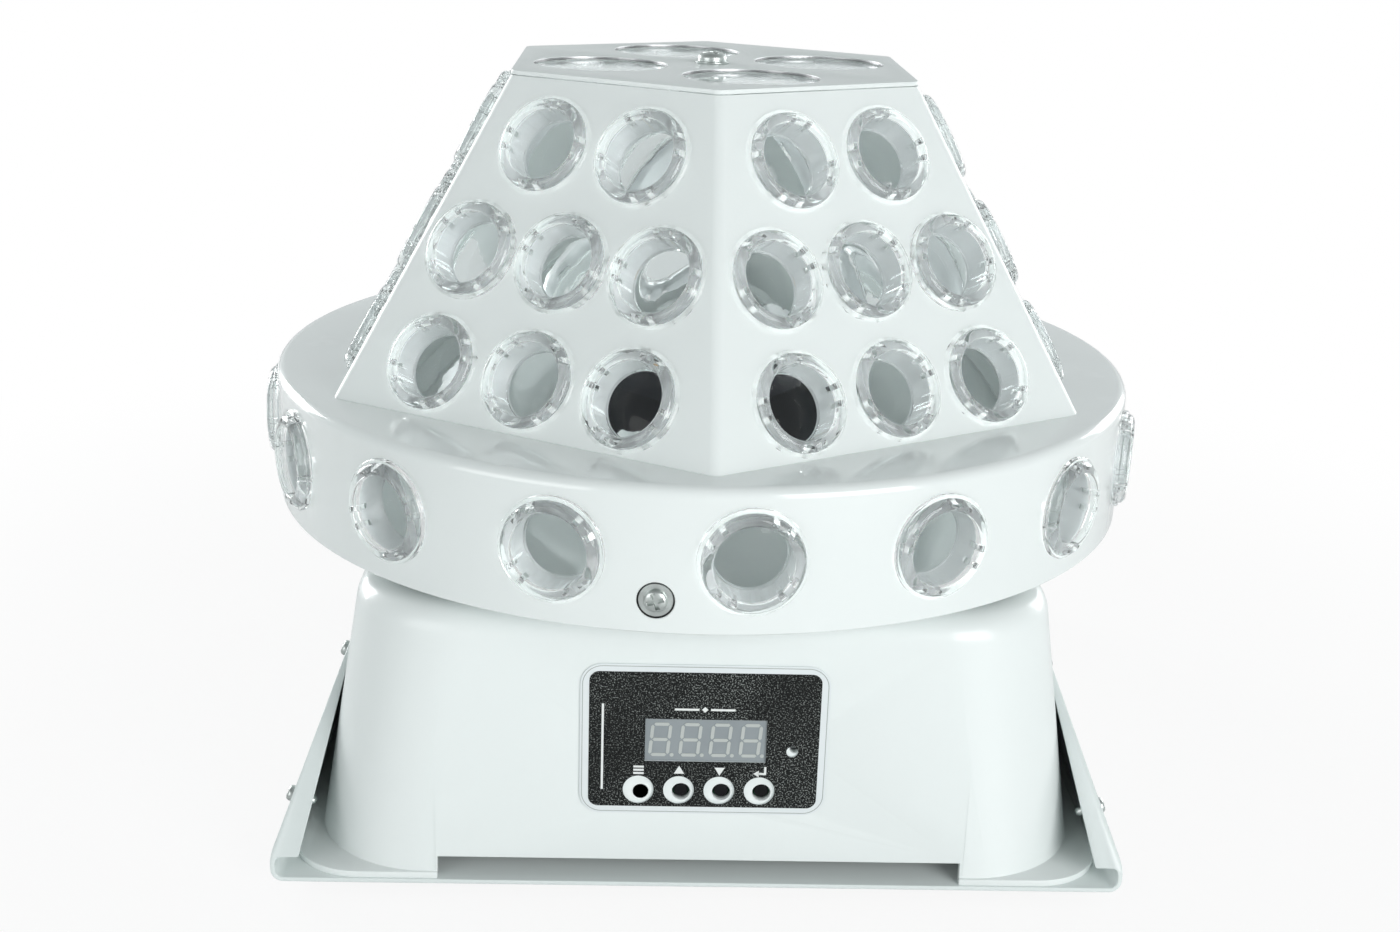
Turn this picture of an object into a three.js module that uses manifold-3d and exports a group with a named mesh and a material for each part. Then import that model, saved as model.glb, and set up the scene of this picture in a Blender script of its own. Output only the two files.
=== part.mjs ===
// A disco effect light: a moulded base with a control panel stands on a folded steel pan, and a head turns
// on a central shaft above it. The head is a drum with sixteen snap-in lenses round its wall, a six-sided dome
// with eight lens cups in each face, and a top plate with four windows.
// Millimetres, +Z up, the front towards -Y. The origin lies on the surface that it stands on, under the
// shaft. Turns about Z are measured from the front towards +X.
import * as THREE from "three";
import { mergeVertices } from "three/addons/utils/BufferGeometryUtils.js";
import Module from "manifold-3d";

const wasm = await Module();
wasm.setup();
const degrees = THREE.MathUtils.degToRad;

// Driving sizes
const gap = 0.3; // clearance of a piece that sits in or beside another
const over = 2; // how far a cutting tool runs past what it cuts
const runningGap = 3; // height between the base and the head that turns above it
const foot = { radius: 7, height: 3, chamfer: 0.8, inset: 16 };
const pan = {
  halfWidth: 108.5, halfDepth: 102, sheet: 1.2, sideWall: 5.8, sideHeight: 45, edgeRun: 38, lip: 6,
};
const housing = {
  bottomHalfWidth: 100, topHalfWidth: 88, halfDepth: 101, height: 73.8, wall: 2.2, cornerRadius: 30,
  shoulderRadius: 7, centreHole: 10, flangeHalfWidth: 105, flangeHalfDepth: 101.6, flange: 1.8,
  flangeCorner: 18, notchHalfWidth: 66.5, notchHeight: 6,
};
const drum = { radius: 120, height: 36, wall: 1.5, edgeRadius: 5, seat: 4, segments: 32 };
const dome = { sides: 6, bottomRadius: 111.5, topRadius: 60.9, height: 80.3, wall: 1.5, cornerRadius: 3 };
const topPlate = {
  thickness: 1.2, windowRadius: 18, windowCircle: 31.5, firstWindow: degrees(17), windows: 4,
};
const cup = {
  flangeRadius: 13.2, edge: 0.6, shoulder: 1.9, round: 2.2, rim: 3, boreTaper: 0.9, depth: 6, crown: 1.3,
  disc: 1.6, lip: 1.9, neckTaper: 1,
};
const cupSegments = 9;
// Rows of cups on a dome face, from the lowest, which clears the lower edge by the sill, to the highest,
// which clears the upper edge by the brow. The shares are of the room that the cups' centres have up and
// across.
const cupRows = {
  sill: 0.6, brow: 4.8, upShares: [0, 0.51, 1],
  acrossShares: [[-0.79, 0, 0.79], [-0.97, 0, 0.97], [-0.71, 0.71]],
};
const drumLens = { count: 16, up: 18.4, first: degrees(4.3), segments: 11 };
const topLens = { overlap: 0.8, flange: 1.4, crown: 1.2, segments: 18 };
const tray = {
  sheet: 1.2, rim: 6.2, mouthRadius: 26, tabHalfWidth: 6, tabHeight: 12, tabs: 4, firstTab: degrees(-7),
};
const shaft = { radius: 4, collarRadius: 8, collar: 4, hubRadius: 7, hub: 6, thread: 14 };
const column = {
  radius: 10, neckRadius: 8, bore: 6.5, flangeRadius: 22, flange: 2.2, shoulder: 25, height: 53,
};
const bush = { length: 10, flangeRadius: 9, flange: 1.8 };
const heatSink = { radius: 40, hubRadius: 13, height: 12, plate: 3, finHalfThickness: 0.8, fins: 8 };
const ledBoard = {
  radius: 37, thickness: 1.6, opticCircle: 24, opticFoot: 5, opticMouth: 9.5, optic: 9, count: 6,
};
const coupling = { radius: 7, length: 15, aboveMotor: 4.5, share: 0.5 };
const motor = {
  radius: 25, height: 21, hang: 19.8, bossRadius: 7, boss: 1.2, shaftRadius: 3, shaftDepth: 7,
};
const bracket = { sheet: 1.5, halfWidth: 32, halfDepth: 17, footLength: 11, holeRadius: 8 };
const panel = {
  heightShare: 0.5434, displayX: 0.4, displayHalfWidth: 15.05, displayHalfHeight: 7, buttonX: -0.35,
  buttonPitch: 10.1, pitchShares: [-1.5, -0.5, 0.5, 1.5], buttonDrop: 14.5, buttonHole: 2.25,
  micX: 22.6, micDrop: 2.1, micHole: 1.2,
};
const label = {
  halfWidth: 30.8, halfHeight: 20.5, corner: 5.5, thickness: 0.5, windowHalfHeight: 5.8,
  buttonHole: 3.85, buttonShiftX: -0.6, buttonShiftUp: 0.7, micHole: 1.45, micShift: -0.6,
};
const board = {
  halfWidth: 30, halfHeight: 19.5, thickness: 1.6, standOff: 4.6, bossX: 26.5, bossUp: 15.5, bossRadius: 2.6,
  chipHalf: 7, chip: 2,
};
const tact = { half: 3, height: 3.5, pocket: 2.5 };
const button = { radius: 1.75, recess: 0.8, travel: 0.5, endPlay: 0.3 };
const capsule = { radius: 3 };
const drive = {
  x: -70, halfWidth: 20, halfDepth: 50, thickness: 1.6, postRadius: 3, post: 6, postInset: 5,
  coilHalf: 13, coil: 22, coilShare: 0.45, canRadius: 7, can: 20, canShare: -0.45,
};
const inlet = {
  x: 36, heightShare: 0.404, halfWidth: 24, halfHeight: 11.5, corner: 4, flange: 2, bodyHalfWidth: 13.5,
  bodyHalfHeight: 10, body: 20, cavityHalfWidth: 11.8, cavityHalfHeight: 8, cavityChamfer: 3, cavity: 18,
  pinX: 7, pinUp: 2.2, pinHalfWidth: 1, pinHalfHeight: 2, pin: 12,
};
const socket = {
  inX: -14, outX: -44, heightShare: 0.54, halfWidth: 13, halfHeight: 15.5, corner: 3, flange: 2,
  bodyRadius: 11.7, body: 18, cavityRadius: 9.5, cavity: 16.5, pinRadius: 1.2, pinCircle: 4.2, pin: 11,
  holeRadius: 1.6, hole: 12, ringWidth: 0.9, ring: 6, segments: 16, pins: 3,
};
const fuse = {
  x: 36, heightShare: 0.743, capRadius: 7, cap: 6, bodyRadius: 5.8, body: 20, slotHalfWidth: 0.8, slot: 1.5,
};
const topScrew = {
  washerRadius: 4.7, washer: 0.6, headRadius: 4, headEdge: 1.2, head: 2.4, crownShare: 0.6,
  shankRadius: 2, shank: 11,
};
const samePoint = 1e-4; // points of one body that lie nearer than this are one point

// Heights, faces and slopes that follow
const panBottom = foot.height;
const panTop = panBottom + pan.sheet;
const housingTop = panTop + housing.height;
const drumBottom = housingTop + runningGap;
const drumTop = drumBottom + drum.height;
const domeTop = drumTop + dome.height;
const plateTop = domeTop + topPlate.thickness;
const columnTop = housingTop + column.height;
const sinkBottom = housingTop + column.shoulder;
const sinkTop = sinkBottom + heatSink.height;
const motorTop = housingTop - housing.wall - motor.hang;
const couplingBottom = motorTop + coupling.aboveMotor;
const frontFace = -housing.halfDepth;
const frontInside = frontFace + housing.wall;
const boardFace = frontInside + board.standOff;
const backFace = housing.halfDepth;
const onHousing = (share) => panTop + housing.height * share;
const panelHeight = onHousing(panel.heightShare);
const inletHeight = onHousing(inlet.heightShare);
const socketHeight = onHousing(socket.heightShare);
const fuseHeight = onHousing(fuse.heightShare);
const buttonHeight = panelHeight - panel.buttonDrop;
const buttonXs = panel.pitchShares.map((share) => panel.buttonX + share * panel.buttonPitch);
const apothemShare = Math.cos(Math.PI / dome.sides);
const domeLean = Math.atan(((dome.bottomRadius - dome.topRadius) * apothemShare) / dome.height);
const domeSlope = dome.height / Math.cos(domeLean);
const shoulderRadius = cup.flangeRadius - cup.edge;
const rimRadius = shoulderRadius - cup.round;
const boreRadius = rimRadius - cup.boreTaper;
const neckRadius = cup.flangeRadius - cup.lip;
const backRadius = neckRadius - cup.neckTaper;

// Colours and finishes
const finish = (color, roughness, metalness = 0) => (
  new THREE.MeshStandardMaterial({ color, roughness, metalness }));
const whitePaint = finish(0xe9efee, 0.35);
const whitePlastic = finish(0xeaf0ef, 0.3);
const clearPlastic = finish(0xdfe6e8, 0.05);
clearPlastic.transparent = true;
clearPlastic.opacity = 0.4;
const blackPlastic = finish(0x141516, 0.5);
const blackLabel = finish(0x1a1c1c, 0.55);
const greyDisplay = finish(0x8f989c, 0.35);
const steel = finish(0xb9bcbd, 0.3, 1);
const aluminium = finish(0xa9adb0, 0.4, 1);
const brass = finish(0xb08d4c, 0.4, 1);
const greenBoard = finish(0x1f5b3a, 0.6);
const rubber = finish(0x1b1b1c, 0.9);

// A closed geometry as a solid that can be cut and joined.
function solid(geometry) {
  const bare = geometry.clone();
  bare.deleteAttribute("normal");
  bare.deleteAttribute("uv");
  const merged = mergeVertices(bare, samePoint);
  const corners = merged.index.array;
  const kept = [];
  for (let i = 0; i < corners.length; i += 3) {
    const [a, b, c] = corners.subarray(i, i + 3);
    if (a !== b && b !== c && c !== a) kept.push(a, b, c);
  }
  return new wasm.Manifold(new wasm.Mesh({
    numProp: 3,
    vertProperties: new Float32Array(merged.attributes.position.array),
    triVerts: new Uint32Array(kept),
  }));
}

const join = (solids) => solids.reduce((sum, next) => sum.add(next));
const cut = (body, tools) => body.subtract(join(tools));

function geometryOf(body) {
  const { numProp, numVert, vertProperties, triVerts } = body.getMesh();
  const places = new Float32Array(numVert * 3);
  for (let i = 0; i < numVert; i++) places.set(vertProperties.subarray(i * numProp, i * numProp + 3), i * 3);
  const geometry = new THREE.BufferGeometry();
  geometry.setAttribute("position", new THREE.BufferAttribute(places, 3));
  geometry.setIndex(new THREE.BufferAttribute(new Uint32Array(triVerts), 1));
  geometry.computeVertexNormals();
  return geometry;
}

function mesh(name, body, material, place = [0, 0, 0]) {
  const piece = new THREE.Mesh(geometryOf(body), material);
  piece.name = name;
  piece.position.set(...place);
  return piece;
}

// A profile of [radius, height] points turned round Z. It starts and ends on the axis.
function lathe(profile, segments) {
  let area = 0;
  profile.forEach(([r, z], i) => {
    const [nextR, nextZ] = profile[(i + 1) % profile.length];
    area += r * nextZ - nextR * z;
  });
  const ordered = area < 0 ? [...profile].reverse() : profile;
  const points = ordered.map(([r, z]) => new THREE.Vector2(r, z));
  return new THREE.LatheGeometry(points, segments).rotateX(Math.PI / 2);
}

const turned = (profile, segments) => solid(lathe(profile, segments));
// A profile that closes on itself, round a bore.
const turnedRing = (profile, segments) => turned([...profile, profile[0]], segments);

function disc(radius, low, high, segments = 24, x = 0, y = 0) {
  const made = new THREE.CylinderGeometry(radius, radius, high - low, segments).rotateX(Math.PI / 2);
  return solid(made.translate(x, y, (low + high) / 2));
}

// A round bar along Y.
function bar(radius, x, z, from, to, segments = 16) {
  const made = new THREE.CylinderGeometry(radius, radius, to - from, segments);
  return solid(made.translate(x, (from + to) / 2, z));
}

function block(low, high, turn = 0) {
  const made = new THREE.BoxGeometry(high[0] - low[0], high[1] - low[1], high[2] - low[2]);
  made.translate((low[0] + high[0]) / 2, (low[1] + high[1]) / 2, (low[2] + high[2]) / 2);
  return solid(made.rotateZ(turn));
}

// A rectangle with round corners, anticlockwise from the right.
function roundedOutline(halfWidth, halfDepth, radius, steps) {
  const points = [];
  [[1, 1], [-1, 1], [-1, -1], [1, -1]].forEach(([sx, sy], corner) => {
    const [x, y] = [sx * (halfWidth - radius), sy * (halfDepth - radius)];
    for (let i = 0; i <= steps; i++) {
      const turn = ((corner + i / steps) * Math.PI) / 2;
      points.push([x + radius * Math.cos(turn), y + radius * Math.sin(turn)]);
    }
  });
  return points;
}

// The dome's six-sided outline with round corners, the first corner at the front.
function hexagonOutline(cornerDistance, radius, steps) {
  const points = [];
  const half = Math.PI / dome.sides;
  const reach = cornerDistance - radius / apothemShare;
  for (let side = 0; side < dome.sides; side++) {
    const corner = 2 * half * side;
    for (let i = 0; i <= steps; i++) {
      const turn = corner - half + (2 * half * i) / steps;
      points.push([
        reach * Math.sin(corner) + radius * Math.sin(turn),
        -reach * Math.cos(corner) - radius * Math.cos(turn),
      ]);
    }
  }
  return points;
}

function extruded(outline, depth) {
  const shape = new THREE.Shape(outline.map(([across, up]) => new THREE.Vector2(across, up)));
  return new THREE.ExtrudeGeometry(shape, { depth, bevelEnabled: false });
}

// An outline in X and Y made thick upwards, one in X and Z made thick along Y, and one in Y and Z along X.
const slab = (outline, low, high) => solid(extruded(outline, high - low).translate(0, 0, low));
const upright = (outline, from, to) => (
  solid(extruded(outline, to - from).rotateX(Math.PI / 2).translate(0, to, 0)));
const sideways = (outline, from, to) => (
  solid(extruded(outline, to - from).rotateX(Math.PI / 2).rotateZ(Math.PI / 2).translate(from, 0, 0)));

// Convex outlines with equal numbers of points, one above the other, as one closed body.
function loft(levels) {
  const count = levels[0].outline.length;
  const places = levels.flatMap(({ outline, z }) => outline.flatMap(([x, y]) => [x, y, z]));
  const faces = [];
  for (let level = 0; level + 1 < levels.length; level++) {
    for (let i = 0; i < count; i++) {
      const a = level * count + i;
      const b = level * count + ((i + 1) % count);
      faces.push(a, b, b + count, a, b + count, a + count);
    }
  }
  const last = (levels.length - 1) * count;
  for (let i = 1; i + 1 < count; i++) faces.push(0, i + 1, i, last, last + i, last + i + 1);
  const geometry = new THREE.BufferGeometry();
  geometry.setAttribute("position", new THREE.Float32BufferAttribute(places, 3));
  geometry.setIndex(faces);
  return solid(geometry);
}

// The base's outer half-width at a height: its sides lean in.
function housingHalfWidth(z) {
  const share = (z - panTop) / housing.height;
  return housing.bottomHalfWidth + (housing.topHalfWidth - housing.bottomHalfWidth) * share;
}

// The steel pan: a floor, two sides that turn up and lean in to the base, and a tapering lip on each sloping
// edge.
function makePan() {
  const { halfWidth, halfDepth, sheet, sideWall, sideHeight, edgeRun, lip } = pan;
  const bend = panTop + sideWall;
  const top = panTop + sideHeight;
  const inside = halfWidth - sheet;
  const insideTop = housingHalfWidth(top) + gap;
  const lean = Math.atan((inside - insideTop) / (top - bend));
  const outsideTop = insideTop + sheet / Math.cos(lean);
  const edge = Math.atan(edgeRun / (top - bend));
  const edgeSheet = sheet / Math.cos(edge);
  const section = (inner) => [
    [inner, panBottom], [halfWidth, panBottom], [halfWidth, bend],
    [outsideTop, top], [insideTop, top], [inner, bend],
  ];
  const beyond = [
    [-halfDepth - over, bend], [-halfDepth, bend], [edgeRun - halfDepth, top],
    [edgeRun - halfDepth, top + over], [-halfDepth - over, top + over],
  ];
  const band = [
    [-halfDepth, bend], [edgeSheet - halfDepth, bend],
    [edgeRun + edgeSheet - halfDepth, top], [edgeRun - halfDepth, top],
  ];
  const flip = (outline, sign) => outline.map(([across, up]) => [sign * across, up]);
  const reach = halfWidth + over;
  const pieces = [block([-halfWidth, -halfDepth, panBottom], [halfWidth, halfDepth, panTop])];
  for (const side of [-1, 1]) {
    const plate = upright(flip(section(inside), side), -halfDepth, halfDepth);
    pieces.push(cut(plate, [-1, 1].map((end) => sideways(flip(beyond, end), -reach, reach))));
    const bar = upright(flip(section(inside - lip), side), -halfDepth, halfDepth);
    for (const end of [-1, 1]) pieces.push(bar.intersect(sideways(flip(band, end), -reach, reach)));
  }
  return join(pieces);
}

// The moulded base: drafted sides, round corners, a round shoulder, a foot flange, and open underneath.
function makeHousing() {
  const { halfDepth, wall, cornerRadius, shoulderRadius, centreHole, notchHalfWidth, notchHeight } = housing;
  const shoulderSteps = 3;
  const body = (inset, low, high) => {
    const level = (z, pull) => {
      const sizes = [housingHalfWidth(z), halfDepth, cornerRadius];
      const [x, y, radius] = sizes.map((size) => size - inset - pull);
      return { z, outline: roundedOutline(x, y, radius, 4) };
    };
    const shoulder = shoulderRadius - inset;
    const levels = [level(low, 0)];
    for (let i = 0; i <= shoulderSteps; i++) {
      const turn = ((i / shoulderSteps) * Math.PI) / 2;
      levels.push(level(high - shoulder * (1 - Math.sin(turn)), shoulder * (1 - Math.cos(turn))));
    }
    return loft(levels);
  };
  const { flangeHalfWidth, flangeHalfDepth, flangeCorner } = housing;
  const flangeOutline = roundedOutline(flangeHalfWidth, flangeHalfDepth, flangeCorner, 4);
  const outside = body(0, panTop, housingTop).add(slab(flangeOutline, panTop, panTop + housing.flange));
  const notch = block([-notchHalfWidth, frontFace - over, panTop - over],
    [notchHalfWidth, frontInside + over, panTop + notchHeight]);
  const shell = cut(outside, [body(wall, panTop - over, housingTop - wall), notch]);
  const { bossX, bossUp, bossRadius } = board;
  const bosses = [-1, 1].flatMap((side) => [-1, 1].map((up) => (
    bar(bossRadius, side * bossX, panelHeight + up * bossUp, frontInside - gap, boardFace, 10))));
  const centre = disc(centreHole, housingTop - wall - over, housingTop + over);
  return cut(join([shell, ...bosses]), [centre, ...makePanelHoles(), ...makeSocketHoles()]);
}

function makePanelHoles() {
  const reach = [frontFace - over, frontInside + over];
  const halfWidth = panel.displayHalfWidth + gap;
  const halfHeight = panel.displayHalfHeight + gap;
  return [
    block([panel.displayX - halfWidth, reach[0], panelHeight - halfHeight],
      [panel.displayX + halfWidth, reach[1], panelHeight + halfHeight]),
    ...buttonXs.map((x) => bar(panel.buttonHole, x, buttonHeight, ...reach, 12)),
    bar(panel.micHole, panel.micX, panelHeight - panel.micDrop, ...reach, 10),
  ];
}

function makeSocketHoles() {
  const reach = [backFace - housing.wall - over, backFace + over];
  const halfWidth = inlet.bodyHalfWidth + gap;
  const halfHeight = inlet.bodyHalfHeight + gap;
  return [
    block([inlet.x - halfWidth, reach[0], inletHeight - halfHeight],
      [inlet.x + halfWidth, reach[1], inletHeight + halfHeight]),
    ...[socket.inX, socket.outX].map((x) => (
      bar(socket.bodyRadius + gap, x, socketHeight, ...reach, socket.segments))),
    bar(fuse.bodyRadius + gap, fuse.x, fuseHeight, ...reach),
  ];
}

function makeLabel() {
  const outline = roundedOutline(label.halfWidth, label.halfHeight, label.corner, 4)
    .map(([x, z]) => [x, z + panelHeight]);
  const reach = [frontFace - label.thickness - over, frontFace + over];
  const [left, right] = [-1, 1].map((side) => panel.displayX + side * panel.displayHalfWidth);
  const window = block([left, reach[0], panelHeight - label.windowHalfHeight],
    [right, reach[1], panelHeight + label.windowHalfHeight]);
  const holes = buttonXs.map((x) => (
    bar(label.buttonHole, x + label.buttonShiftX, buttonHeight + label.buttonShiftUp, ...reach, 14)));
  const micHeight = panelHeight - panel.micDrop + label.micShift;
  const micHole = bar(label.micHole, panel.micX + label.micShift, micHeight, ...reach, 10);
  return cut(upright(outline, frontFace - label.thickness, frontFace), [window, ...holes, micHole]);
}

const makeDisplay = () => block(
  [panel.displayX - panel.displayHalfWidth, frontFace, panelHeight - panel.displayHalfHeight],
  [panel.displayX + panel.displayHalfWidth, boardFace, panelHeight + panel.displayHalfHeight]);

// The control board carries one small switch body for each button stem.
function makeControlBoard() {
  const { halfWidth, halfHeight, thickness, chipHalf, chip } = board;
  const back = boardFace + thickness;
  const switchFace = boardFace - tact.height;
  const middle = panelHeight;
  const sheet = block([-halfWidth, boardFace, middle - halfHeight], [halfWidth, back, middle + halfHeight]);
  const processor = block([-chipHalf, back, middle - chipHalf], [chipHalf, back + chip, middle + chipHalf]);
  const switches = buttonXs.map((x) => block([x - tact.half, switchFace, buttonHeight - tact.half],
    [x + tact.half, boardFace, buttonHeight + tact.half]));
  const pockets = buttonXs.map((x) => (
    bar(button.radius + gap, x, buttonHeight, switchFace - over, switchFace + tact.pocket, 10)));
  return cut(join([sheet, processor, ...switches]), pockets);
}

// A button's stem, from its recessed end in the front wall to its play before the switch pocket's floor.
function makeButton() {
  const { radius, recess, travel, endPlay } = button;
  const pocketFloor = housing.wall + board.standOff - tact.height + tact.pocket;
  return bar(radius, 0, 0, 0, pocketFloor - recess - travel - endPlay, 12);
}

const makeMicrophone = () => (
  bar(capsule.radius, panel.micX, panelHeight - panel.micDrop, frontInside + gap, boardFace, 14));

// The power and driver board on its posts, with its wound coil and its storage can.
function makeDriverBoard() {
  const { x, halfWidth, halfDepth, thickness, postRadius, post, postInset, coilHalf, coil } = drive;
  const low = panTop + post;
  const top = low + thickness;
  const posts = [-1, 1].flatMap((sx) => [-1, 1].map((sy) => (
    disc(postRadius, panTop, low, 8, x + sx * (halfWidth - postInset), sy * (halfDepth - postInset)))));
  const coilY = drive.coilShare * halfDepth;
  return join([
    block([x - halfWidth, -halfDepth, low], [x + halfWidth, halfDepth, top]),
    block([x - coilHalf, coilY - coilHalf, top], [x + coilHalf, coilY + coilHalf, top + coil]),
    disc(drive.canRadius, top, top + drive.can, 12, x, drive.canShare * halfDepth),
    ...posts,
  ]);
}

// The geared motor hangs under its bracket, with its round boss through the bracket's hole.
function makeMotor() {
  const bore = motor.shaftRadius + gap;
  const floor = motorTop - motor.shaftDepth;
  const boss = motorTop + motor.boss;
  return turned([
    [0, motorTop - motor.height], [motor.radius, motorTop - motor.height], [motor.radius, motorTop],
    [motor.bossRadius, motorTop], [motor.bossRadius, boss], [bore, boss], [bore, floor], [0, floor],
  ], 20);
}

// A strip folded twice at each end: down from the base's top wall, and across over the motor.
function makeBracket() {
  const { sheet, halfWidth, halfDepth, footLength, holeRadius } = bracket;
  const top = housingTop - housing.wall;
  const outer = halfWidth + footLength;
  const inner = halfWidth - sheet;
  const outline = [
    [-halfWidth, motorTop], [halfWidth, motorTop], [halfWidth, top - sheet], [outer, top - sheet],
    [outer, top], [inner, top], [inner, motorTop + sheet], [-inner, motorTop + sheet], [-inner, top],
    [-outer, top], [-outer, top - sheet], [-halfWidth, top - sheet],
  ];
  const hole = disc(holeRadius, motorTop - over, motorTop + sheet + over, 16);
  return cut(upright(outline, -halfDepth, halfDepth), [hole]);
}

const couplingMiddle = couplingBottom + coupling.length * coupling.share;

const makeMotorShaft = () => (
  disc(motor.shaftRadius, motorTop - motor.shaftDepth + gap, couplingMiddle - gap, 14));

function makeCoupling() {
  const top = couplingBottom + coupling.length;
  const low = motor.shaftRadius + gap;
  const high = shaft.radius + gap;
  return turnedRing([
    [coupling.radius, couplingBottom], [coupling.radius, top], [high, top], [high, couplingMiddle],
    [low, couplingMiddle], [low, couplingBottom],
  ], 16);
}

// The turning shaft, with the collar that rides on the bush and the hub that the top plate is screwed to.
function makeShaft() {
  const { radius, collarRadius, collar, hubRadius, hub, thread } = shaft;
  const collarBottom = columnTop + bush.flange + gap;
  const threadRadius = topScrew.shankRadius + gap;
  return turned([
    [0, couplingMiddle + gap], [radius, couplingMiddle + gap], [radius, collarBottom],
    [collarRadius, collarBottom], [collarRadius, collarBottom + collar], [radius, collarBottom + collar],
    [radius, domeTop - hub], [hubRadius, domeTop - hub], [hubRadius, domeTop], [threadRadius, domeTop],
    [threadRadius, domeTop - thread], [0, domeTop - thread],
  ], 14);
}

function makeBush() {
  const outer = column.bore - gap;
  const inner = shaft.radius + gap;
  const { length, flangeRadius, flange } = bush;
  return turnedRing([
    [inner, columnTop - length], [outer, columnTop - length], [outer, columnTop],
    [flangeRadius, columnTop], [flangeRadius, columnTop + flange], [inner, columnTop + flange],
  ], 16);
}

// The fixed hollow column round the shaft: a foot flange on the base and a shoulder under the heat sink.
function makeColumn() {
  const { radius, neckRadius, bore, flangeRadius, flange } = column;
  return turnedRing([
    [bore, housingTop], [flangeRadius, housingTop], [flangeRadius, housingTop + flange],
    [radius, housingTop + flange], [radius, sinkBottom], [neckRadius, sinkBottom], [neckRadius, columnTop],
    [bore, columnTop],
  ], 20);
}

function makeHeatSink() {
  const { radius, hubRadius, plate, finHalfThickness, fins } = heatSink;
  const plateBottom = sinkTop - plate;
  const bore = column.neckRadius + gap;
  const core = turnedRing([
    [bore, sinkBottom], [hubRadius, sinkBottom], [hubRadius, plateBottom], [radius, plateBottom],
    [radius, sinkTop], [bore, sinkTop],
  ], 24);
  const blades = Array.from({ length: fins }, (_, i) => block(
    [hubRadius - finHalfThickness, -finHalfThickness, sinkBottom],
    [radius, finHalfThickness, plateBottom + gap],
    (2 * Math.PI * i) / fins,
  ));
  return join([core, ...blades]);
}

// The round board on the heat sink, with a ring of LEDs under flared optics.
function makeLedBoard() {
  const { radius, thickness, opticCircle, opticFoot, opticMouth, optic, count } = ledBoard;
  const bore = column.neckRadius + gap;
  const top = sinkTop + thickness;
  const sheet = turnedRing([[bore, sinkTop], [radius, sinkTop], [radius, top], [bore, top]], 24);
  const optics = Array.from({ length: count }, (_, i) => {
    const turn = (2 * Math.PI * i) / count;
    const [low, high] = [top - thickness / 2, top + optic];
    const shape = lathe([[0, low], [opticFoot, low], [opticMouth, high], [0, high]], 10);
    return solid(shape.translate(opticCircle * Math.sin(turn), -opticCircle * Math.cos(turn), 0));
  });
  return join([sheet, ...optics]);
}

// The places round the drum's wall: a frame with its Z outwards and its Y up.
function facing(turn, distance, z) {
  const out = new THREE.Vector3(Math.sin(turn), -Math.cos(turn), 0);
  const along = new THREE.Vector3(Math.cos(turn), Math.sin(turn), 0);
  const up = new THREE.Vector3(0, 0, 1);
  return new THREE.Matrix4().makeBasis(along, up, out).setPosition(out.multiplyScalar(distance).setZ(z));
}

const drumLensTurns = Array.from(
  { length: drumLens.count }, (_, i) => drumLens.first + (2 * Math.PI * i) / drumLens.count);
const drumLensHeight = drumBottom + drumLens.up;
// The wall is made of flats, and a lens sits on the middle of one.
const drumFlat = drum.radius * Math.cos(Math.PI / drum.segments);

// The drum: a round wall with a hole for each lens, a rounded upper edge, and a six-sided mouth whose ledge
// the dome stands on.
function makeDrum() {
  const { radius, wall, edgeRadius, seat, segments } = drum;
  const diagonal = edgeRadius * Math.SQRT1_2;
  const flatTurn = drumLens.first + Math.PI / segments;
  const profile = [
    [0, drumTop - wall], [radius - edgeRadius, drumTop - wall], [radius - wall, drumTop - edgeRadius],
    [radius - wall, drumBottom], [radius, drumBottom], [radius, drumTop - edgeRadius],
    [radius - edgeRadius + diagonal, drumTop - edgeRadius + diagonal], [radius - edgeRadius, drumTop],
    [0, drumTop],
  ];
  const closed = solid(lathe(profile, segments).rotateZ(flatTurn));
  const mouthOutline = hexagonOutline(dome.bottomRadius - seat / apothemShare, dome.cornerRadius, 2);
  const mouth = slab(mouthOutline, drumTop - wall - over, drumTop + over);
  const hole = neckRadius + gap;
  const holes = drumLensTurns.map((turn) => {
    const tool = new THREE.CylinderGeometry(hole, hole, 2 * cup.flangeRadius, drumLens.segments);
    return solid(tool.rotateX(Math.PI / 2).applyMatrix4(facing(turn, radius, drumLensHeight)));
  });
  return cut(closed, [mouth, ...holes]);
}

// The tray that closes the drum underneath, with upright tabs for the drum's screws.
function makeTray() {
  const { sheet, rim, mouthRadius, tabHalfWidth, tabHeight, tabs, firstTab } = tray;
  const outer = (drum.radius - drum.wall) * Math.cos(Math.PI / drum.segments) - gap;
  const top = drumBottom + sheet;
  const dish = turnedRing([
    [mouthRadius, drumBottom], [outer, drumBottom], [outer, drumBottom + rim],
    [outer - sheet, drumBottom + rim], [outer - sheet, top], [mouthRadius, top],
  ], 24);
  const uprights = Array.from({ length: tabs }, (_, i) => block(
    [-tabHalfWidth, gap - outer, drumBottom],
    [tabHalfWidth, gap + sheet - outer, drumBottom + tabHeight],
    firstTab + (2 * Math.PI * i) / tabs,
  ));
  return join([dish, ...uprights]);
}

// A lens cup's section: a rounded flange proud of the wall, a bore, and the lens at its inner end.
function cupProfile(seat) {
  const { flangeRadius, shoulder, rim, depth, crown, disc: lens } = cup;
  return [
    [0, -depth - lens], [backRadius, -depth - lens], [neckRadius, seat], [flangeRadius, seat],
    [shoulderRadius, shoulder], [rimRadius, rim], [boreRadius, -depth], [0, crown - depth],
  ];
}

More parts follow.
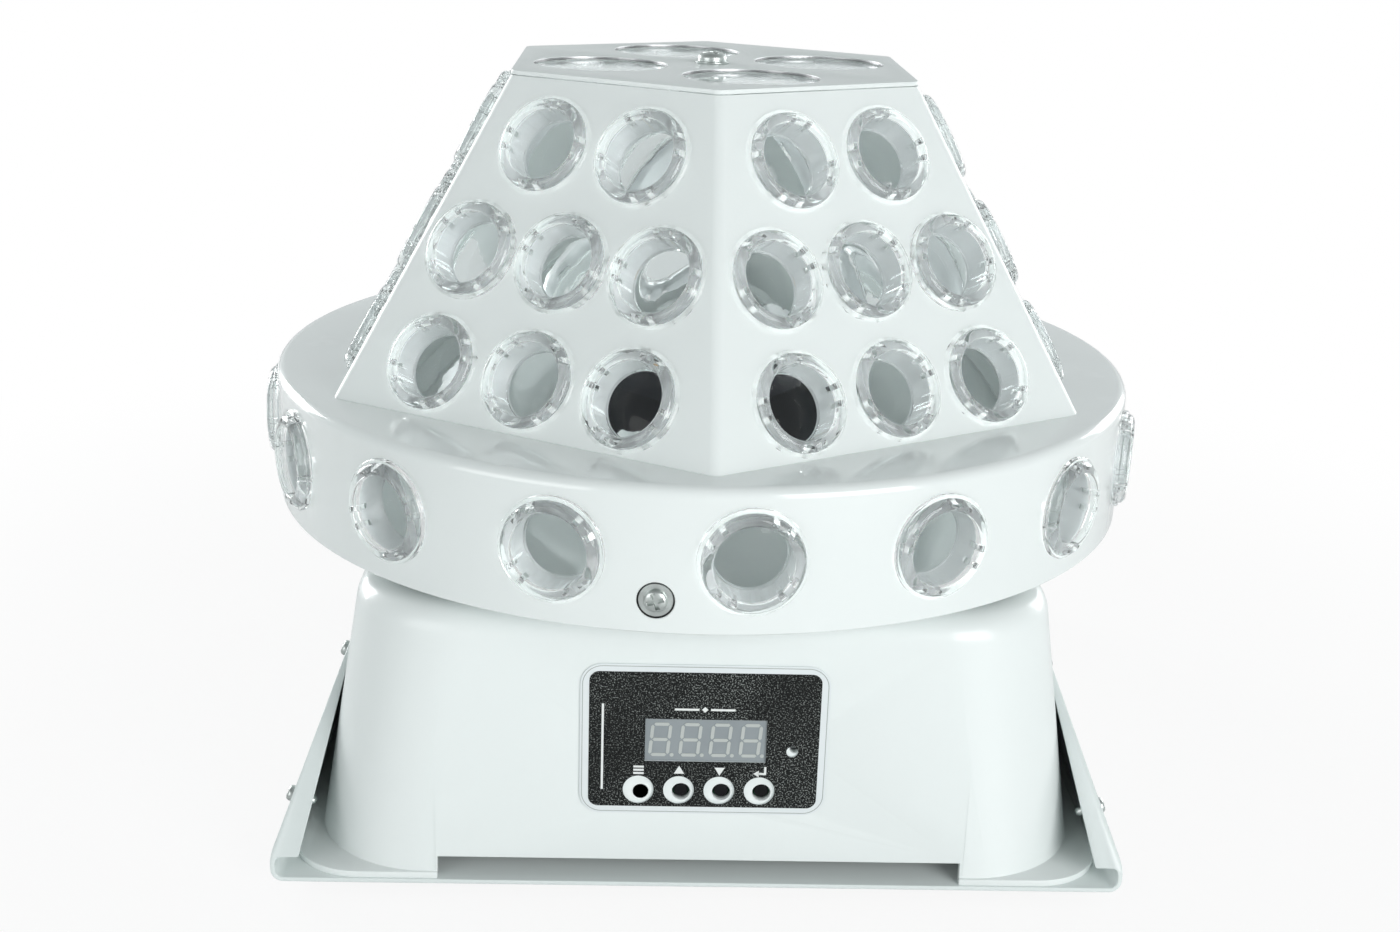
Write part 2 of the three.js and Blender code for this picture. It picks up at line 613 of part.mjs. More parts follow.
// A frame on a dome face: X across it, Y up the slope, Z outwards, its origin on the face's lower edge.
function onFace(turn, across, upSlope) {
  const out = new THREE.Vector3(Math.sin(turn), -Math.cos(turn), 0);
  const along = new THREE.Vector3(Math.cos(turn), Math.sin(turn), 0);
  const up = new THREE.Vector3(0, 0, Math.cos(domeLean)).addScaledVector(out, -Math.sin(domeLean));
  const normal = new THREE.Vector3().crossVectors(along, up);
  const place = new THREE.Vector3(0, 0, drumTop).addScaledVector(out, dome.bottomRadius * apothemShare)
    .addScaledVector(along, across).addScaledVector(up, upSlope);
  return new THREE.Matrix4().makeBasis(along, up, normal).setPosition(place);
}

// The frames of the cups on the dome face that looks towards a turn about Z. Each is turned a little about
// its own axis, so that no three corners of the holes lie on one line.
function cupFrames(turn) {
  const sideShare = Math.sin(Math.PI / dome.sides);
  const edgeLean = Math.atan(((dome.bottomRadius - dome.topRadius) * sideShare) / domeSlope);
  const spent = dome.cornerRadius * Math.tan(Math.PI / dome.sides) + cup.flangeRadius / Math.cos(edgeLean);
  const low = cup.flangeRadius + cupRows.sill;
  const high = domeSlope - cup.flangeRadius - cupRows.brow;
  const frames = cupRows.upShares.flatMap((upShare, row) => {
    const up = low + (high - low) * upShare;
    const cornerDistance = dome.bottomRadius + ((dome.topRadius - dome.bottomRadius) * up) / domeSlope;
    const room = cornerDistance * sideShare - spent;
    return cupRows.acrossShares[row].map((share) => onFace(turn, share * room, up));
  });
  const twist = (2 * Math.PI) / cupSegments / frames.length;
  return frames.map((frame, i) => frame.multiply(new THREE.Matrix4().makeRotationZ(twist * i)));
}

// The six-sided dome, hollow and open at both ends: flat faces, round corners, and a lens cup through each
// hole.
function makeDome() {
  const { sides, bottomRadius, topRadius, wall, cornerRadius } = dome;
  const { flangeRadius, shoulder, rim, depth, crown } = cup;
  const back = -depth - cup.disc;
  const inset = wall / (Math.cos(domeLean) * apothemShare);
  const cornerSteps = 2;
  const points = [];
  const faces = [];
  const add = (point) => points.push(point) - 1;
  const loop = (z, distance, radius) => (
    hexagonOutline(distance, radius, cornerSteps).map(([x, y]) => add(new THREE.Vector3(x, y, z))));
  const ring = (frame, radius, height) => Array.from({ length: cupSegments }, (_, i) => {
    const turn = (2 * Math.PI * i) / cupSegments;
    const point = new THREE.Vector3(radius * Math.sin(turn), -radius * Math.cos(turn), height);
    return add(point.applyMatrix4(frame));
  });
  const quad = (low, high, i) => {
    const next = (i + 1) % low.length;
    faces.push(low[i], low[next], high[next], low[i], high[next], high[i]);
  };
  const band = (low, high) => low.forEach((_, i) => quad(low, high, i));
  const fan = (edge, centre, flip) => edge.forEach((a, i) => {
    const b = edge[(i + 1) % edge.length];
    faces.push(...(flip ? [b, a, centre] : [a, b, centre]));
  });
  const plate = (corners, holes, toFace, flip) => {
    const flat = (index) => {
      const { x, y } = points[index].clone().applyMatrix4(toFace);
      return new THREE.Vector2(x, y);
    };
    const indices = [...corners, ...holes.flat()];
    const flatHoles = holes.map((hole) => hole.map(flat));
    const triangles = THREE.ShapeUtils.triangulateShape(corners.map(flat), flatHoles);
    triangles.map((triangle) => triangle.map((i) => indices[i])).forEach(([a, b, c]) => {
      faces.push(...(flip ? [c, b, a] : [a, b, c]));
    });
  };
  // Each cup starts on the plate's outer plane and ends on its inner one.
  const addCup = (frame) => {
    const outside = ring(frame, flangeRadius, 0);
    const rings = [
      outside, ring(frame, shoulderRadius, shoulder), ring(frame, rimRadius, rim),
      ring(frame, boreRadius, -depth),
    ];
    rings.slice(1).forEach((next, i) => band(rings[i], next));
    fan(rings.at(-1), add(new THREE.Vector3(0, 0, crown - depth).applyMatrix4(frame)), false);
    const inside = ring(frame, neckRadius, -wall);
    const backRing = ring(frame, backRadius, back);
    band(backRing, inside);
    fan(backRing, add(new THREE.Vector3(0, 0, back).applyMatrix4(frame)), true);
    return { outside, inside };
  };
  const loops = [
    loop(drumTop, bottomRadius, cornerRadius), loop(domeTop, topRadius, cornerRadius),
    loop(domeTop, topRadius - inset, cornerRadius - wall),
    loop(drumTop, bottomRadius - inset, cornerRadius - wall),
  ];
  const [outerLow, outerHigh, innerHigh, innerLow] = loops;
  outerLow.forEach((_, i) => {
    quad(outerHigh, innerHigh, i);
    quad(innerLow, outerLow, i);
    const [step, side] = [i % (cornerSteps + 1), Math.floor(i / (cornerSteps + 1))];
    if (step < cornerSteps) {
      quad(outerLow, outerHigh, i);
      quad(innerHigh, innerLow, i);
      return;
    }
    const next = (i + 1) % outerLow.length;
    const turn = (2 * Math.PI * (side + 1 / 2)) / sides;
    const toFace = onFace(turn, 0, 0).invert();
    const cups = cupFrames(turn).map(addCup);
    const corners = (low, high) => [low[i], low[next], high[next], high[i]];
    plate(corners(outerLow, outerHigh), cups.map(({ outside }) => outside), toFace, false);
    plate(corners(innerLow, innerHigh), cups.map(({ inside }) => inside), toFace, true);
  });
  const geometry = new THREE.BufferGeometry().setFromPoints(points);
  geometry.setIndex(faces);
  return solid(geometry);
}

const windowTurns = Array.from(
  { length: topPlate.windows }, (_, i) => topPlate.firstWindow + (2 * Math.PI * i) / topPlate.windows);
const windowPlaces = windowTurns.map((turn) => (
  [topPlate.windowCircle * Math.sin(turn), -topPlate.windowCircle * Math.cos(turn)]));

function makeTopPlate() {
  const sheet = slab(hexagonOutline(dome.topRadius, dome.cornerRadius, 2), domeTop, plateTop);
  const reach = [domeTop - over, plateTop + over];
  const windows = windowPlaces.map(([x, y]) => (
    disc(topPlate.windowRadius, ...reach, topLens.segments, x, y)));
  return cut(sheet, [disc(topScrew.shankRadius + gap, ...reach, 12), ...windows]);
}

function makeTopLens() {
  const radius = topPlate.windowRadius + topLens.overlap;
  const { flange, crown, segments } = topLens;
  return turned([[0, -flange - crown], [radius, -flange], [radius, 0], [0, 0]], segments);
}

function makeTopScrew() {
  const { washerRadius, washer, headRadius, headEdge, head, crownShare, shankRadius, shank } = topScrew;
  return turned([
    [0, -shank], [shankRadius, -shank], [shankRadius, 0], [washerRadius, 0], [washerRadius, washer],
    [headRadius, washer], [headRadius, washer + headEdge], [headRadius * crownShare, washer + head],
    [0, washer + head],
  ], 14);
}

function makeFoot() {
  const { radius, height, chamfer } = foot;
  return turned([[0, 0], [radius - chamfer, 0], [radius, chamfer], [radius, height], [0, height]], 14);
}

// The mains inlet, its face towards +Y: a flange, a body through the wall, and three flat pins in its well.
function makeInlet() {
  const { flange, body, bodyHalfWidth, bodyHalfHeight, cavity, pin, pinX, pinUp } = inlet;
  const { cavityHalfWidth: w, cavityHalfHeight: h, cavityChamfer: c } = inlet;
  const plate = upright(roundedOutline(inlet.halfWidth, inlet.halfHeight, inlet.corner, 3), 0, flange);
  const shell = block([-bodyHalfWidth, -body, -bodyHalfHeight], [bodyHalfWidth, gap, bodyHalfHeight]);
  const floor = flange - cavity;
  const wellOutline = [[-w, -h], [w, -h], [w, h - c], [w - c, h], [c - w, h], [-w, h - c]];
  const well = upright(wellOutline, floor, flange + over);
  const pins = [[-pinX, -pinUp], [0, pinUp], [pinX, -pinUp]].map(([x, z]) => block(
    [x - inlet.pinHalfWidth, floor - gap, z - inlet.pinHalfHeight],
    [x + inlet.pinHalfWidth, floor + pin, z + inlet.pinHalfHeight]));
  return join([cut(join([plate, shell]), [well]), ...pins]);
}

const socketPins = Array.from({ length: socket.pins }, (_, i) => {
  const turn = Math.PI * (1 / 2 + i / 2);
  return [socket.pinCircle * Math.sin(turn), socket.pinCircle * Math.cos(turn)];
});

function makeSocketBody() {
  const { halfWidth, halfHeight, corner, flange, bodyRadius, body, segments } = socket;
  const plate = upright(roundedOutline(halfWidth, halfHeight, corner, 3), 0, flange);
  return plate.add(bar(bodyRadius, 0, 0, -body, gap, segments));
}

// The data input: pins in an open well.
function makeDataIn() {
  const floor = socket.flange - socket.cavity;
  const well = bar(socket.cavityRadius, 0, 0, floor, socket.flange + over, socket.segments);
  const pins = socketPins.map(([x, z]) => bar(socket.pinRadius, x, z, floor - gap, floor + socket.pin, 8));
  return join([cut(makeSocketBody(), [well]), ...pins]);
}

// The data output: pin holes in a round insert with a ring groove about it.
function makeDataOut() {
  const { flange, ring, ringWidth, cavityRadius, holeRadius, hole, segments } = socket;
  const groove = cut(bar(cavityRadius, 0, 0, flange - ring, flange + over, segments),
    [bar(cavityRadius - ringWidth, 0, 0, flange - ring - over, flange + 2 * over, segments)]);
  const holes = socketPins.map(([x, z]) => bar(holeRadius, x, z, flange - hole, flange + over, 8));
  return cut(makeSocketBody(), [groove, ...holes]);
}

// The fuse holder: a round cap with a driver slot, and its body through the wall.
function makeFuseHolder() {
  const { capRadius, cap, bodyRadius, body, slotHalfWidth, slot } = fuse;
  const whole = bar(capRadius, 0, 0, 0, cap).add(bar(bodyRadius, 0, 0, -body, gap));
  const reach = capRadius + over;
  const driverSlot = block([-reach, cap - slot, -slotHalfWidth], [reach, cap + over, slotHalfWidth]);
  return cut(whole, [driverSlot]);
}

function makeBase() {
  const base = new THREE.Group();
  base.add(
    mesh("base_pan", makePan(), whitePaint),
    mesh("base_housing", makeHousing(), whitePlastic),
    mesh("control_label", makeLabel(), blackLabel),
    mesh("display_module", makeDisplay(), greyDisplay),
    mesh("control_board", makeControlBoard(), greenBoard),
    mesh("microphone", makeMicrophone(), aluminium),
    mesh("driver_board", makeDriverBoard(), greenBoard),
    mesh("motor", makeMotor(), steel),
    mesh("motor_bracket", makeBracket(), steel),
    mesh("led_column", makeColumn(), aluminium),
    mesh("shaft_bush", makeBush(), brass),
    mesh("heat_sink", makeHeatSink(), aluminium),
    mesh("led_board", makeLedBoard(), whitePlastic),
    mesh("power_inlet", makeInlet(), blackPlastic, [inlet.x, backFace, inletHeight]),
    mesh("fuse_holder", makeFuseHolder(), blackPlastic, [fuse.x, backFace, fuseHeight]),
    mesh("data_in", makeDataIn(), blackPlastic, [socket.inX, backFace, socketHeight]),
    mesh("data_out", makeDataOut(), blackPlastic, [socket.outX, backFace, socketHeight]),
  );
  const footX = pan.halfWidth - foot.inset;
  const footY = pan.halfDepth - foot.inset;
  [[-1, -1], [1, -1], [1, 1], [-1, 1]].forEach(([sx, sy], i) => {
    base.add(mesh(`foot_${i + 1}`, makeFoot(), rubber, [sx * footX, sy * footY, 0]));
  });
  buttonXs.forEach((x, i) => {
    const place = [x, frontFace + button.recess, buttonHeight];
    base.add(mesh(`button_${i + 1}`, makeButton(), blackPlastic, place));
  });
  return base;
}

function makeHead() {
  const head = new THREE.Group();
  head.add(
    mesh("drum_housing", makeDrum(), whitePlastic),
    mesh("drum_tray", makeTray(), whitePaint),
    mesh("dome_shell", makeDome(), whitePlastic),
    mesh("top_plate", makeTopPlate(), whitePlastic),
    mesh("top_screw", makeTopScrew(), steel, [0, 0, plateTop]),
    mesh("centre_shaft", makeShaft(), steel),
    mesh("shaft_coupling", makeCoupling(), aluminium),
    mesh("motor_shaft", makeMotorShaft(), steel),
  );
  drumLensTurns.forEach((turn, i) => {
    const lens = mesh(`drum_lens_${i + 1}`, turned(cupProfile(0), drumLens.segments), clearPlastic);
    lens.applyMatrix4(facing(turn, drumFlat + gap, drumLensHeight));
    head.add(lens);
  });
  windowPlaces.forEach(([x, y], i) => {
    head.add(mesh(`top_lens_${i + 1}`, makeTopLens(), clearPlastic, [x, y, domeTop]));
  });
  return head;
}

const group = new THREE.Group();
group.add(makeBase(), makeHead());

export default group;
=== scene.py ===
import math
from contextlib import contextmanager

import bpy
from mathutils import Matrix, Vector


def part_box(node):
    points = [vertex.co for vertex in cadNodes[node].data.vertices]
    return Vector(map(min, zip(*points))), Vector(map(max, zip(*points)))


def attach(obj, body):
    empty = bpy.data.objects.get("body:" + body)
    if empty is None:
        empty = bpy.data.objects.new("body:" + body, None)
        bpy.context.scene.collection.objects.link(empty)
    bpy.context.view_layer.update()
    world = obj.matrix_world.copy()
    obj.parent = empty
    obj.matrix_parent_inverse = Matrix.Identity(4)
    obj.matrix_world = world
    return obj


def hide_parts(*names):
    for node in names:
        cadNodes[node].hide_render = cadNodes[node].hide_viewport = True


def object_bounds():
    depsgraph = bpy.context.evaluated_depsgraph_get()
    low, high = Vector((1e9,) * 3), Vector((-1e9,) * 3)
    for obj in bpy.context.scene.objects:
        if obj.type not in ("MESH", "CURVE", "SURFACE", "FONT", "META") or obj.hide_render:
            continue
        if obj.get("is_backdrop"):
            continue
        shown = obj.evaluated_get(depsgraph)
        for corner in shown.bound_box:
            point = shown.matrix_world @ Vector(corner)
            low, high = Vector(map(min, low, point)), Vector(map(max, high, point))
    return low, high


# A disco effect light on a folded steel pan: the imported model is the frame, and the pieces that show are
# modelled again here with their fine shape and finish. Metres, +Z up, the front towards -Y.
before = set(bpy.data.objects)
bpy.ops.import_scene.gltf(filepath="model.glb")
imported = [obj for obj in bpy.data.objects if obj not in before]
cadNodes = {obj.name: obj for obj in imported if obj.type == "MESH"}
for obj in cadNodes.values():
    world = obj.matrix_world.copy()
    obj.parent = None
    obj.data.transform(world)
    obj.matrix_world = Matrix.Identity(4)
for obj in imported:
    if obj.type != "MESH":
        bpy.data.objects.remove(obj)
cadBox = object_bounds()
bpy.ops.object.select_all(action="DESELECT")
print("frame loaded:", len(cadNodes), "nodes")

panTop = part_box("base_pan")[0].z + 0.0012
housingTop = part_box("base_housing")[1].z
drumBottom, drumTop = (corner.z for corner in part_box("drum_housing"))
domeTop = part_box("top_plate")[0].z
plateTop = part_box("top_plate")[1].z
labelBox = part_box("control_label")
panelHeight = (labelBox[0].z + labelBox[1].z) / 2


# The camera stands where the photograph's did
photoCamera = {
    "place": (-0.01741, -0.50043, 0.25157), "yaw": 2.03, "pitch": -18.73, "roll": 1.88,
    "focalPixels": 1793.75, "imageWidth": 1400, "sensor": 36,
}


def addCamera():
    yaw, pitch, roll = (math.radians(photoCamera[turn]) for turn in ("yaw", "pitch", "roll"))
    forward = Vector((math.sin(yaw) * math.cos(pitch), math.cos(yaw) * math.cos(pitch), math.sin(pitch)))
    level = Vector((math.cos(yaw), -math.sin(yaw), 0))
    plumb = level.cross(forward)
    across = level * math.cos(roll) + plumb * math.sin(roll)
    upward = plumb * math.cos(roll) - level * math.sin(roll)
    facing = Matrix((across, upward, -forward)).transposed()
    bpy.ops.object.camera_add(location=photoCamera["place"], rotation=facing.to_euler())
    camera = bpy.context.object
    camera.data.sensor_width = photoCamera["sensor"]
    camera.data.lens = photoCamera["focalPixels"] * photoCamera["sensor"] / photoCamera["imageWidth"]
    bpy.context.scene.camera = camera


addCamera()
print("camera set")


# Shader expressions
class Signal:
    # a socket whose sums and products add Math nodes
    def __init__(self, nodes, socket):
        self.nodes = nodes
        self.socket = socket

    def math(self, operation, first, second):
        return self.nodes.node("ShaderNodeMath", {"operation": operation}, {0: first, 1: second})

    def __add__(self, other):
        return self.math("ADD", self, other)

    def __radd__(self, other):
        return self.math("ADD", other, self)

    def __mul__(self, other):
        return self.math("MULTIPLY", self, other)

    def __rmul__(self, other):
        return self.math("MULTIPLY", other, self)

    def atLeast(self, other):
        return self.math("MAXIMUM", self, other)


class NodeTree:
    # a material's or the world's nodes; node() sets the settings first, then the sockets' values or links
    def __init__(self, tree):
        self.tree = tree

    def node(self, kind, settings=None, sockets=None, output=0):
        made = self.tree.nodes.new(kind)
        for setting, value in (settings or {}).items():
            setattr(made, setting, value)
        for socket, value in (sockets or {}).items():
            self.connect(made.inputs[socket], value)
        return Signal(self, made.outputs[output])

    def blend(self, mask, first, second):
        return self.node("ShaderNodeMix", {"data_type": "RGBA"}, {0: mask, 6: first, 7: second}, output=2)

    def connect(self, socket, value):
        if isinstance(value, Signal):
            self.tree.links.new(value.socket, socket)
        else:
            socket.default_value = value


class Finish(NodeTree):
    # one material: its Principled shader, and the nodes that feed it
    def __init__(self, name, **constants):
        self.material = bpy.data.materials.new(name)
        self.material.use_nodes = True
        super().__init__(self.material.node_tree)
        self.shader = self.tree.nodes["Principled BSDF"]
        self.output = self.tree.nodes["Material Output"]
        self.place = self.node("ShaderNodeTexCoord", output="Object")
        for socket, value in constants.items():
            self.feed(socket, value)

    def feed(self, socket, value):
        # baseColor stands for the socket called Base Color
        words = "".join(" " + letter if letter.isupper() else letter for letter in socket).title()
        words = {"Ior": "IOR", "Specular Level": "Specular IOR Level"}.get(words, words)
        self.connect(self.shader.inputs[words], value)

    def noise(self, scale, detail, place=None):
        return self.node("ShaderNodeTexNoise", {}, {
            "Vector": place or self.place, "Scale": scale, "Detail": detail})

    def stretched(self, scale):
        return self.node("ShaderNodeMapping", {}, {"Vector": self.place, "Scale": scale})

    def band(self, signal, low, high):
        return self.node("ShaderNodeMapRange", {"interpolation_type": "SMOOTHSTEP"}, {
            "Value": signal, "From Min": low, "From Max": high})

    def bump(self, height, strength, distance):
        self.feed("normal", self.node("ShaderNodeBump", {}, {
            "Height": height, "Strength": strength, "Distance": distance}))

    def mixSurface(self, factor, other):
        # the surface turns from the shader into the other one as the factor rises
        mixed = self.node("ShaderNodeMixShader", {}, {
            0: factor, 1: Signal(self, self.shader.outputs[0]), 2: other})
        self.connect(self.output.inputs["Surface"], mixed)


def grey(level):
    return (level, level, level, 1)


whitePaintLook = {
    "tint": (0.80, 0.845, 0.835, 1), "shade": (0.755, 0.805, 0.795, 1), "patches": 9, "peel": 1100,
    "peelDepth": 0.00004, "peelStrength": 0.35, "ripple": 0.8, "roughness": 0.24, "roughnessSpread": 0.12,
    "rubGrain": (60, 60, 900), "rubFrom": 0.62, "rubTo": 0.72, "rubRoughness": 0.1,
}


def makeWhitePaint(name, look, coat):
    # enamel over sheet metal or moulded plastic: faint patches, a fine peel and a few dry rub marks
    finish = Finish(name, coatWeight=coat, coatRoughness=0.04, specularLevel=0.5)
    patches = finish.noise(look["patches"], 3)
    rubs = finish.band(finish.noise(1.0, 4, finish.stretched(look["rubGrain"])), look["rubFrom"], look["rubTo"])
    finish.feed("baseColor", finish.blend(patches, look["shade"], look["tint"]))
    finish.feed("roughness", (
        look["roughness"] + look["roughnessSpread"] * patches + look["rubRoughness"] * rubs))
    peel = finish.noise(look["peel"], 1)
    ripple = finish.noise(look["peel"] / 9, 1)
    finish.bump(peel + look["ripple"] * ripple, look["peelStrength"], look["peelDepth"])
    return finish.material


clearLook = {
    "tint": (0.965, 0.985, 0.982, 1), "shade": (0.93, 0.965, 0.962, 1), "flow": 160, "ior": 1.49,
    "roughness": 0.012, "frostRoughness": 0.4, "flowRoughness": 0.03, "flowStrength": 0.12,
    "flowDepth": 0.0002,
}


def makeClearPlastic(name, look, passing, frost=0.0):
    # glass-clear moulding with faint flow marks; lamps shine through it, and frost makes it milky
    finish = Finish(name, transmissionWeight=1.0 - frost, ior=look["ior"])
    flow = finish.noise(look["flow"], 2)
    finish.feed("baseColor", finish.blend(flow, look["shade"], look["tint"]))
    finish.feed("roughness", look["roughness"] + look["frostRoughness"] * frost + look["flowRoughness"] * flow)
    finish.bump(flow, look["flowStrength"], look["flowDepth"])
    shadowRay = finish.node("ShaderNodeLightPath", output="Is Shadow Ray")
    clear = finish.node("ShaderNodeBsdfTransparent", {}, {"Color": grey(passing)})
    finish.mixSurface(shadowRay, clear)
    return finish.material


metalLook = {
    "tarnish": 240, "tarnishFrom": 0.35, "tarnishTo": 0.7, "tarnished": 0.72, "streakRoughness": 0.16,
    "streakStrength": 0.12, "streakDepth": 0.00005,
}


def makePlatedSteel(name, tint, roughness, streak):
    # plated or machined metal with fine turning streaks and a little tarnish
    look = metalLook
    finish = Finish(name, metallic=1.0)
    tarnish = finish.band(finish.noise(look["tarnish"], 3), look["tarnishFrom"], look["tarnishTo"])
    streaks = finish.noise(1.0, 3, finish.stretched(streak))
    dark = tuple(look["tarnished"] * part for part in tint[:3]) + (1,)
    finish.feed("baseColor", finish.blend(tarnish, dark, tint))
    finish.feed("roughness", roughness + look["streakRoughness"] * streaks)
    finish.bump(streaks, look["streakStrength"], look["streakDepth"])
    return finish.material


plasticLook = {"cloud": 45, "pitRoughness": 0.15, "pitStrength": 0.5}


def makePlastic(name, tint, shade, roughness, grain, depth, specular=0.45):
    # moulded plastic or rubber with a fine spark-eroded grain
    look = plasticLook
    finish = Finish(name, specularLevel=specular)
    cloud = finish.noise(look["cloud"], 3)
    pits = finish.noise(grain, 2)
    finish.feed("baseColor", finish.blend(cloud, shade, tint))
    finish.feed("roughness", roughness + look["pitRoughness"] * pits)
    finish.bump(pits, look["pitStrength"], depth)
    return finish.material


labelFilmLook = {
    "black": (0.004, 0.005, 0.005, 1), "pearlGlint": (0.24, 0.26, 0.25, 1), "grain": 2300, "specks": 2700,
    "speckFrom": 0.54, "speckTo": 0.64, "shine": 55, "shineGain": 1.8, "roughness": 0.45,
    "grainRoughness": 0.3, "grainStrength": 0.6, "grainDepth": 0.0002,
}


def makeLabelFilm(name):
    # black film with a coarse pearl grain; its pale specks are partly that grain and partly painted glints
    look = labelFilmLook
    finish = Finish(name, specularLevel=0.18)
    grain = finish.node("ShaderNodeTexVoronoi", {"feature": "F1"}, {
        "Vector": finish.place, "Scale": look["grain"]})
    cloud = finish.noise(look["specks"], 2)
    shine = finish.noise(look["shine"], 2)
    # the specks' colour, brighter where the shine noise rises, is partly painted glints on the grain
    speck = finish.band(cloud, look["speckFrom"], look["speckTo"]) * (look["shineGain"] * shine)
    finish.feed("baseColor", finish.blend(speck, look["black"], look["pearlGlint"]))
    finish.feed("roughness", look["roughness"] + look["grainRoughness"] * grain)
    finish.bump(cloud + 0.5 * grain, look["grainStrength"], look["grainDepth"])
    return finish.material


displayLook = {
    "shade": (0.225, 0.255, 0.27, 1), "tint": (0.30, 0.335, 0.35, 1), "haze": 90, "roughness": 0.25,
    "hazeRoughness": 0.15, "hazeStrength": 0.2, "hazeDepth": 0.0001,
}


def makeDisplayFace(name):
    # cast grey resin, a little cloudy, under a faint sheen
    look = displayLook
    finish = Finish(name, specularLevel=0.5, coatWeight=0.4, coatRoughness=0.12)
    haze = finish.noise(look["haze"], 3)
    finish.feed("baseColor", finish.blend(haze, look["shade"], look["tint"]))
    finish.feed("roughness", look["roughness"] + look["hazeRoughness"] * haze)
    finish.bump(haze, look["hazeStrength"], look["hazeDepth"])
    return finish.material


boardLook = {
    "mask": (0.012, 0.085, 0.045, 1), "track": (0.03, 0.18, 0.09, 1), "tracks": 260, "trackWidth": 0.03,
    "pads": 0.3, "roughness": 0.35, "grain": 500, "grainRoughness": 0.2, "relief": 0.4,
    "reliefDepth": 0.00005,
}


def makeCircuitBoard(name):
    # solder mask over copper tracks
    look = boardLook
    finish = Finish(name, specularLevel=0.5)
    tracks = finish.node("ShaderNodeTexBrick", {"offset": 0.5}, {
        "Vector": finish.stretched((1, 0, 1)), "Scale": look["tracks"], "Mortar Size": look["trackWidth"],
        "Color1": grey(0), "Color2": grey(look["pads"]), "Mortar": grey(1)})
    cover = finish.node("ShaderNodeSeparateColor", {}, {0: tracks})
    finish.feed("baseColor", finish.blend(cover, look["mask"], look["track"]))
    finish.feed("roughness", look["roughness"] + look["grainRoughness"] * finish.noise(look["grain"], 2))
    finish.bump(cover, look["relief"], look["reliefDepth"])
    return finish.material


whitePaint = makeWhitePaint("white enamel", whitePaintLook, coat=0.6)
glossPaint = makeWhitePaint("gloss white enamel", {
    **whitePaintLook, "roughness": 0.1, "peelDepth": 0.000006}, coat=1.0)
satinPaint = makeWhitePaint("satin white enamel", {**whitePaintLook, "roughness": 0.32}, coat=0.15)
whitePlastic = makeWhitePaint("white moulding", {**whitePaintLook, "peel": 700, "roughness": 0.26}, coat=0.35)
# the pan's enamel is a darker copy of the white enamel: painted shade on the pan
shadedPanPaint = makeWhitePaint("shaded pan enamel", {
    **whitePaintLook, "tint": (0.73, 0.785, 0.775, 1), "shade": (0.68, 0.74, 0.73, 1), "peel": 900,
    "roughness": 0.3}, coat=0.3)
clearPlastic = makeClearPlastic("clear lens plastic", {**clearLook, "ior": 1.3}, passing=0.97)
clearRim = makeClearPlastic("clear rim plastic", {
    **clearLook, "ior": 1.4, "tint": (0.99, 0.998, 0.996, 1), "shade": (0.965, 0.985, 0.98, 1)},
    passing=0.92, frost=0.03)
frostedPlastic = makeClearPlastic("frosted plastic", {
    **clearLook, "tint": (0.78, 0.82, 0.83, 1), "shade": (0.72, 0.76, 0.77, 1)}, passing=0.85, frost=0.6)
platedSteel = makePlatedSteel(
    "zinc plated steel", tint=(0.72, 0.765, 0.745, 1), roughness=0.24, streak=(300, 300, 2600))
machinedAluminium = makePlatedSteel(
    "machined aluminium", tint=(0.60, 0.61, 0.62, 1), roughness=0.3, streak=(200, 200, 3000))
bronze = makePlatedSteel(
    "sintered bronze", tint=(0.50, 0.33, 0.15, 1), roughness=0.38, streak=(900, 900, 900))
blackPlastic = makePlastic(
    "black moulding", (0.018, 0.018, 0.02, 1), (0.01, 0.01, 0.011, 1), roughness=0.38, grain=1500,
    depth=0.00006)
buttonResin = makePlastic(
    "button resin", (0.008, 0.008, 0.009, 1), (0.004, 0.004, 0.005, 1), roughness=0.42, grain=1500,
    depth=0.00004, specular=0.15)
footRubber = makePlastic(
    "foot rubber", (0.02, 0.02, 0.02, 1), (0.012, 0.012, 0.012, 1), roughness=0.7, grain=900, depth=0.0001)
blackAnodised = makePlastic(
    "black anodised sink", (0.006, 0.007, 0.012, 1), (0.003, 0.004, 0.007, 1), roughness=0.5, grain=2200,
    depth=0.00003, specular=0.12)
labelFilm = makeLabelFilm("grained black film")
labelBorder = makePlastic(
    "silver white film", (0.76, 0.80, 0.81, 1), (0.70, 0.75, 0.76, 1), roughness=0.25, grain=1600,
    depth=0.00003)
# a grey ink for the painted shade along the label's edge
edgeShadeInk = makePlastic(
    "grey painted edge shade", (0.40, 0.43, 0.42, 1), (0.32, 0.35, 0.34, 1), roughness=0.4, grain=2400,
    depth=0.00002)
printInk = makePlastic(
    "white print", (0.80, 0.82, 0.81, 1), (0.72, 0.75, 0.74, 1), roughness=0.45, grain=2400, depth=0.00002)
displayFace = makeDisplayFace("display resin")
segmentResin = makePlastic(
    "segment resin", (0.50, 0.53, 0.51, 1), (0.44, 0.47, 0.46, 1), roughness=0.35, grain=1400,
    depth=0.00003)
circuitBoard = makeCircuitBoard("green circuit board")
whiteMask = makePlastic(
    "white board mask", (0.74, 0.77, 0.76, 1), (0.68, 0.71, 0.70, 1), roughness=0.35, grain=1800,
    depth=0.00003)
phosphor = makePlastic(
    "emitter resin", (0.82, 0.70, 0.16, 1), (0.74, 0.60, 0.12, 1), roughness=0.3, grain=2600,
    depth=0.00003)
print("materials made")


# Modelling helpers
past = 0.002  # how far a cutting tool reaches beyond what it cuts


def take(piece):
    bpy.ops.object.select_all(action="DESELECT")
    piece.select_set(True)
    bpy.context.view_layer.objects.active = piece
    return piece


def settle(piece):
    take(piece)
    bpy.ops.object.transform_apply(location=True, rotation=True, scale=True)
    return piece


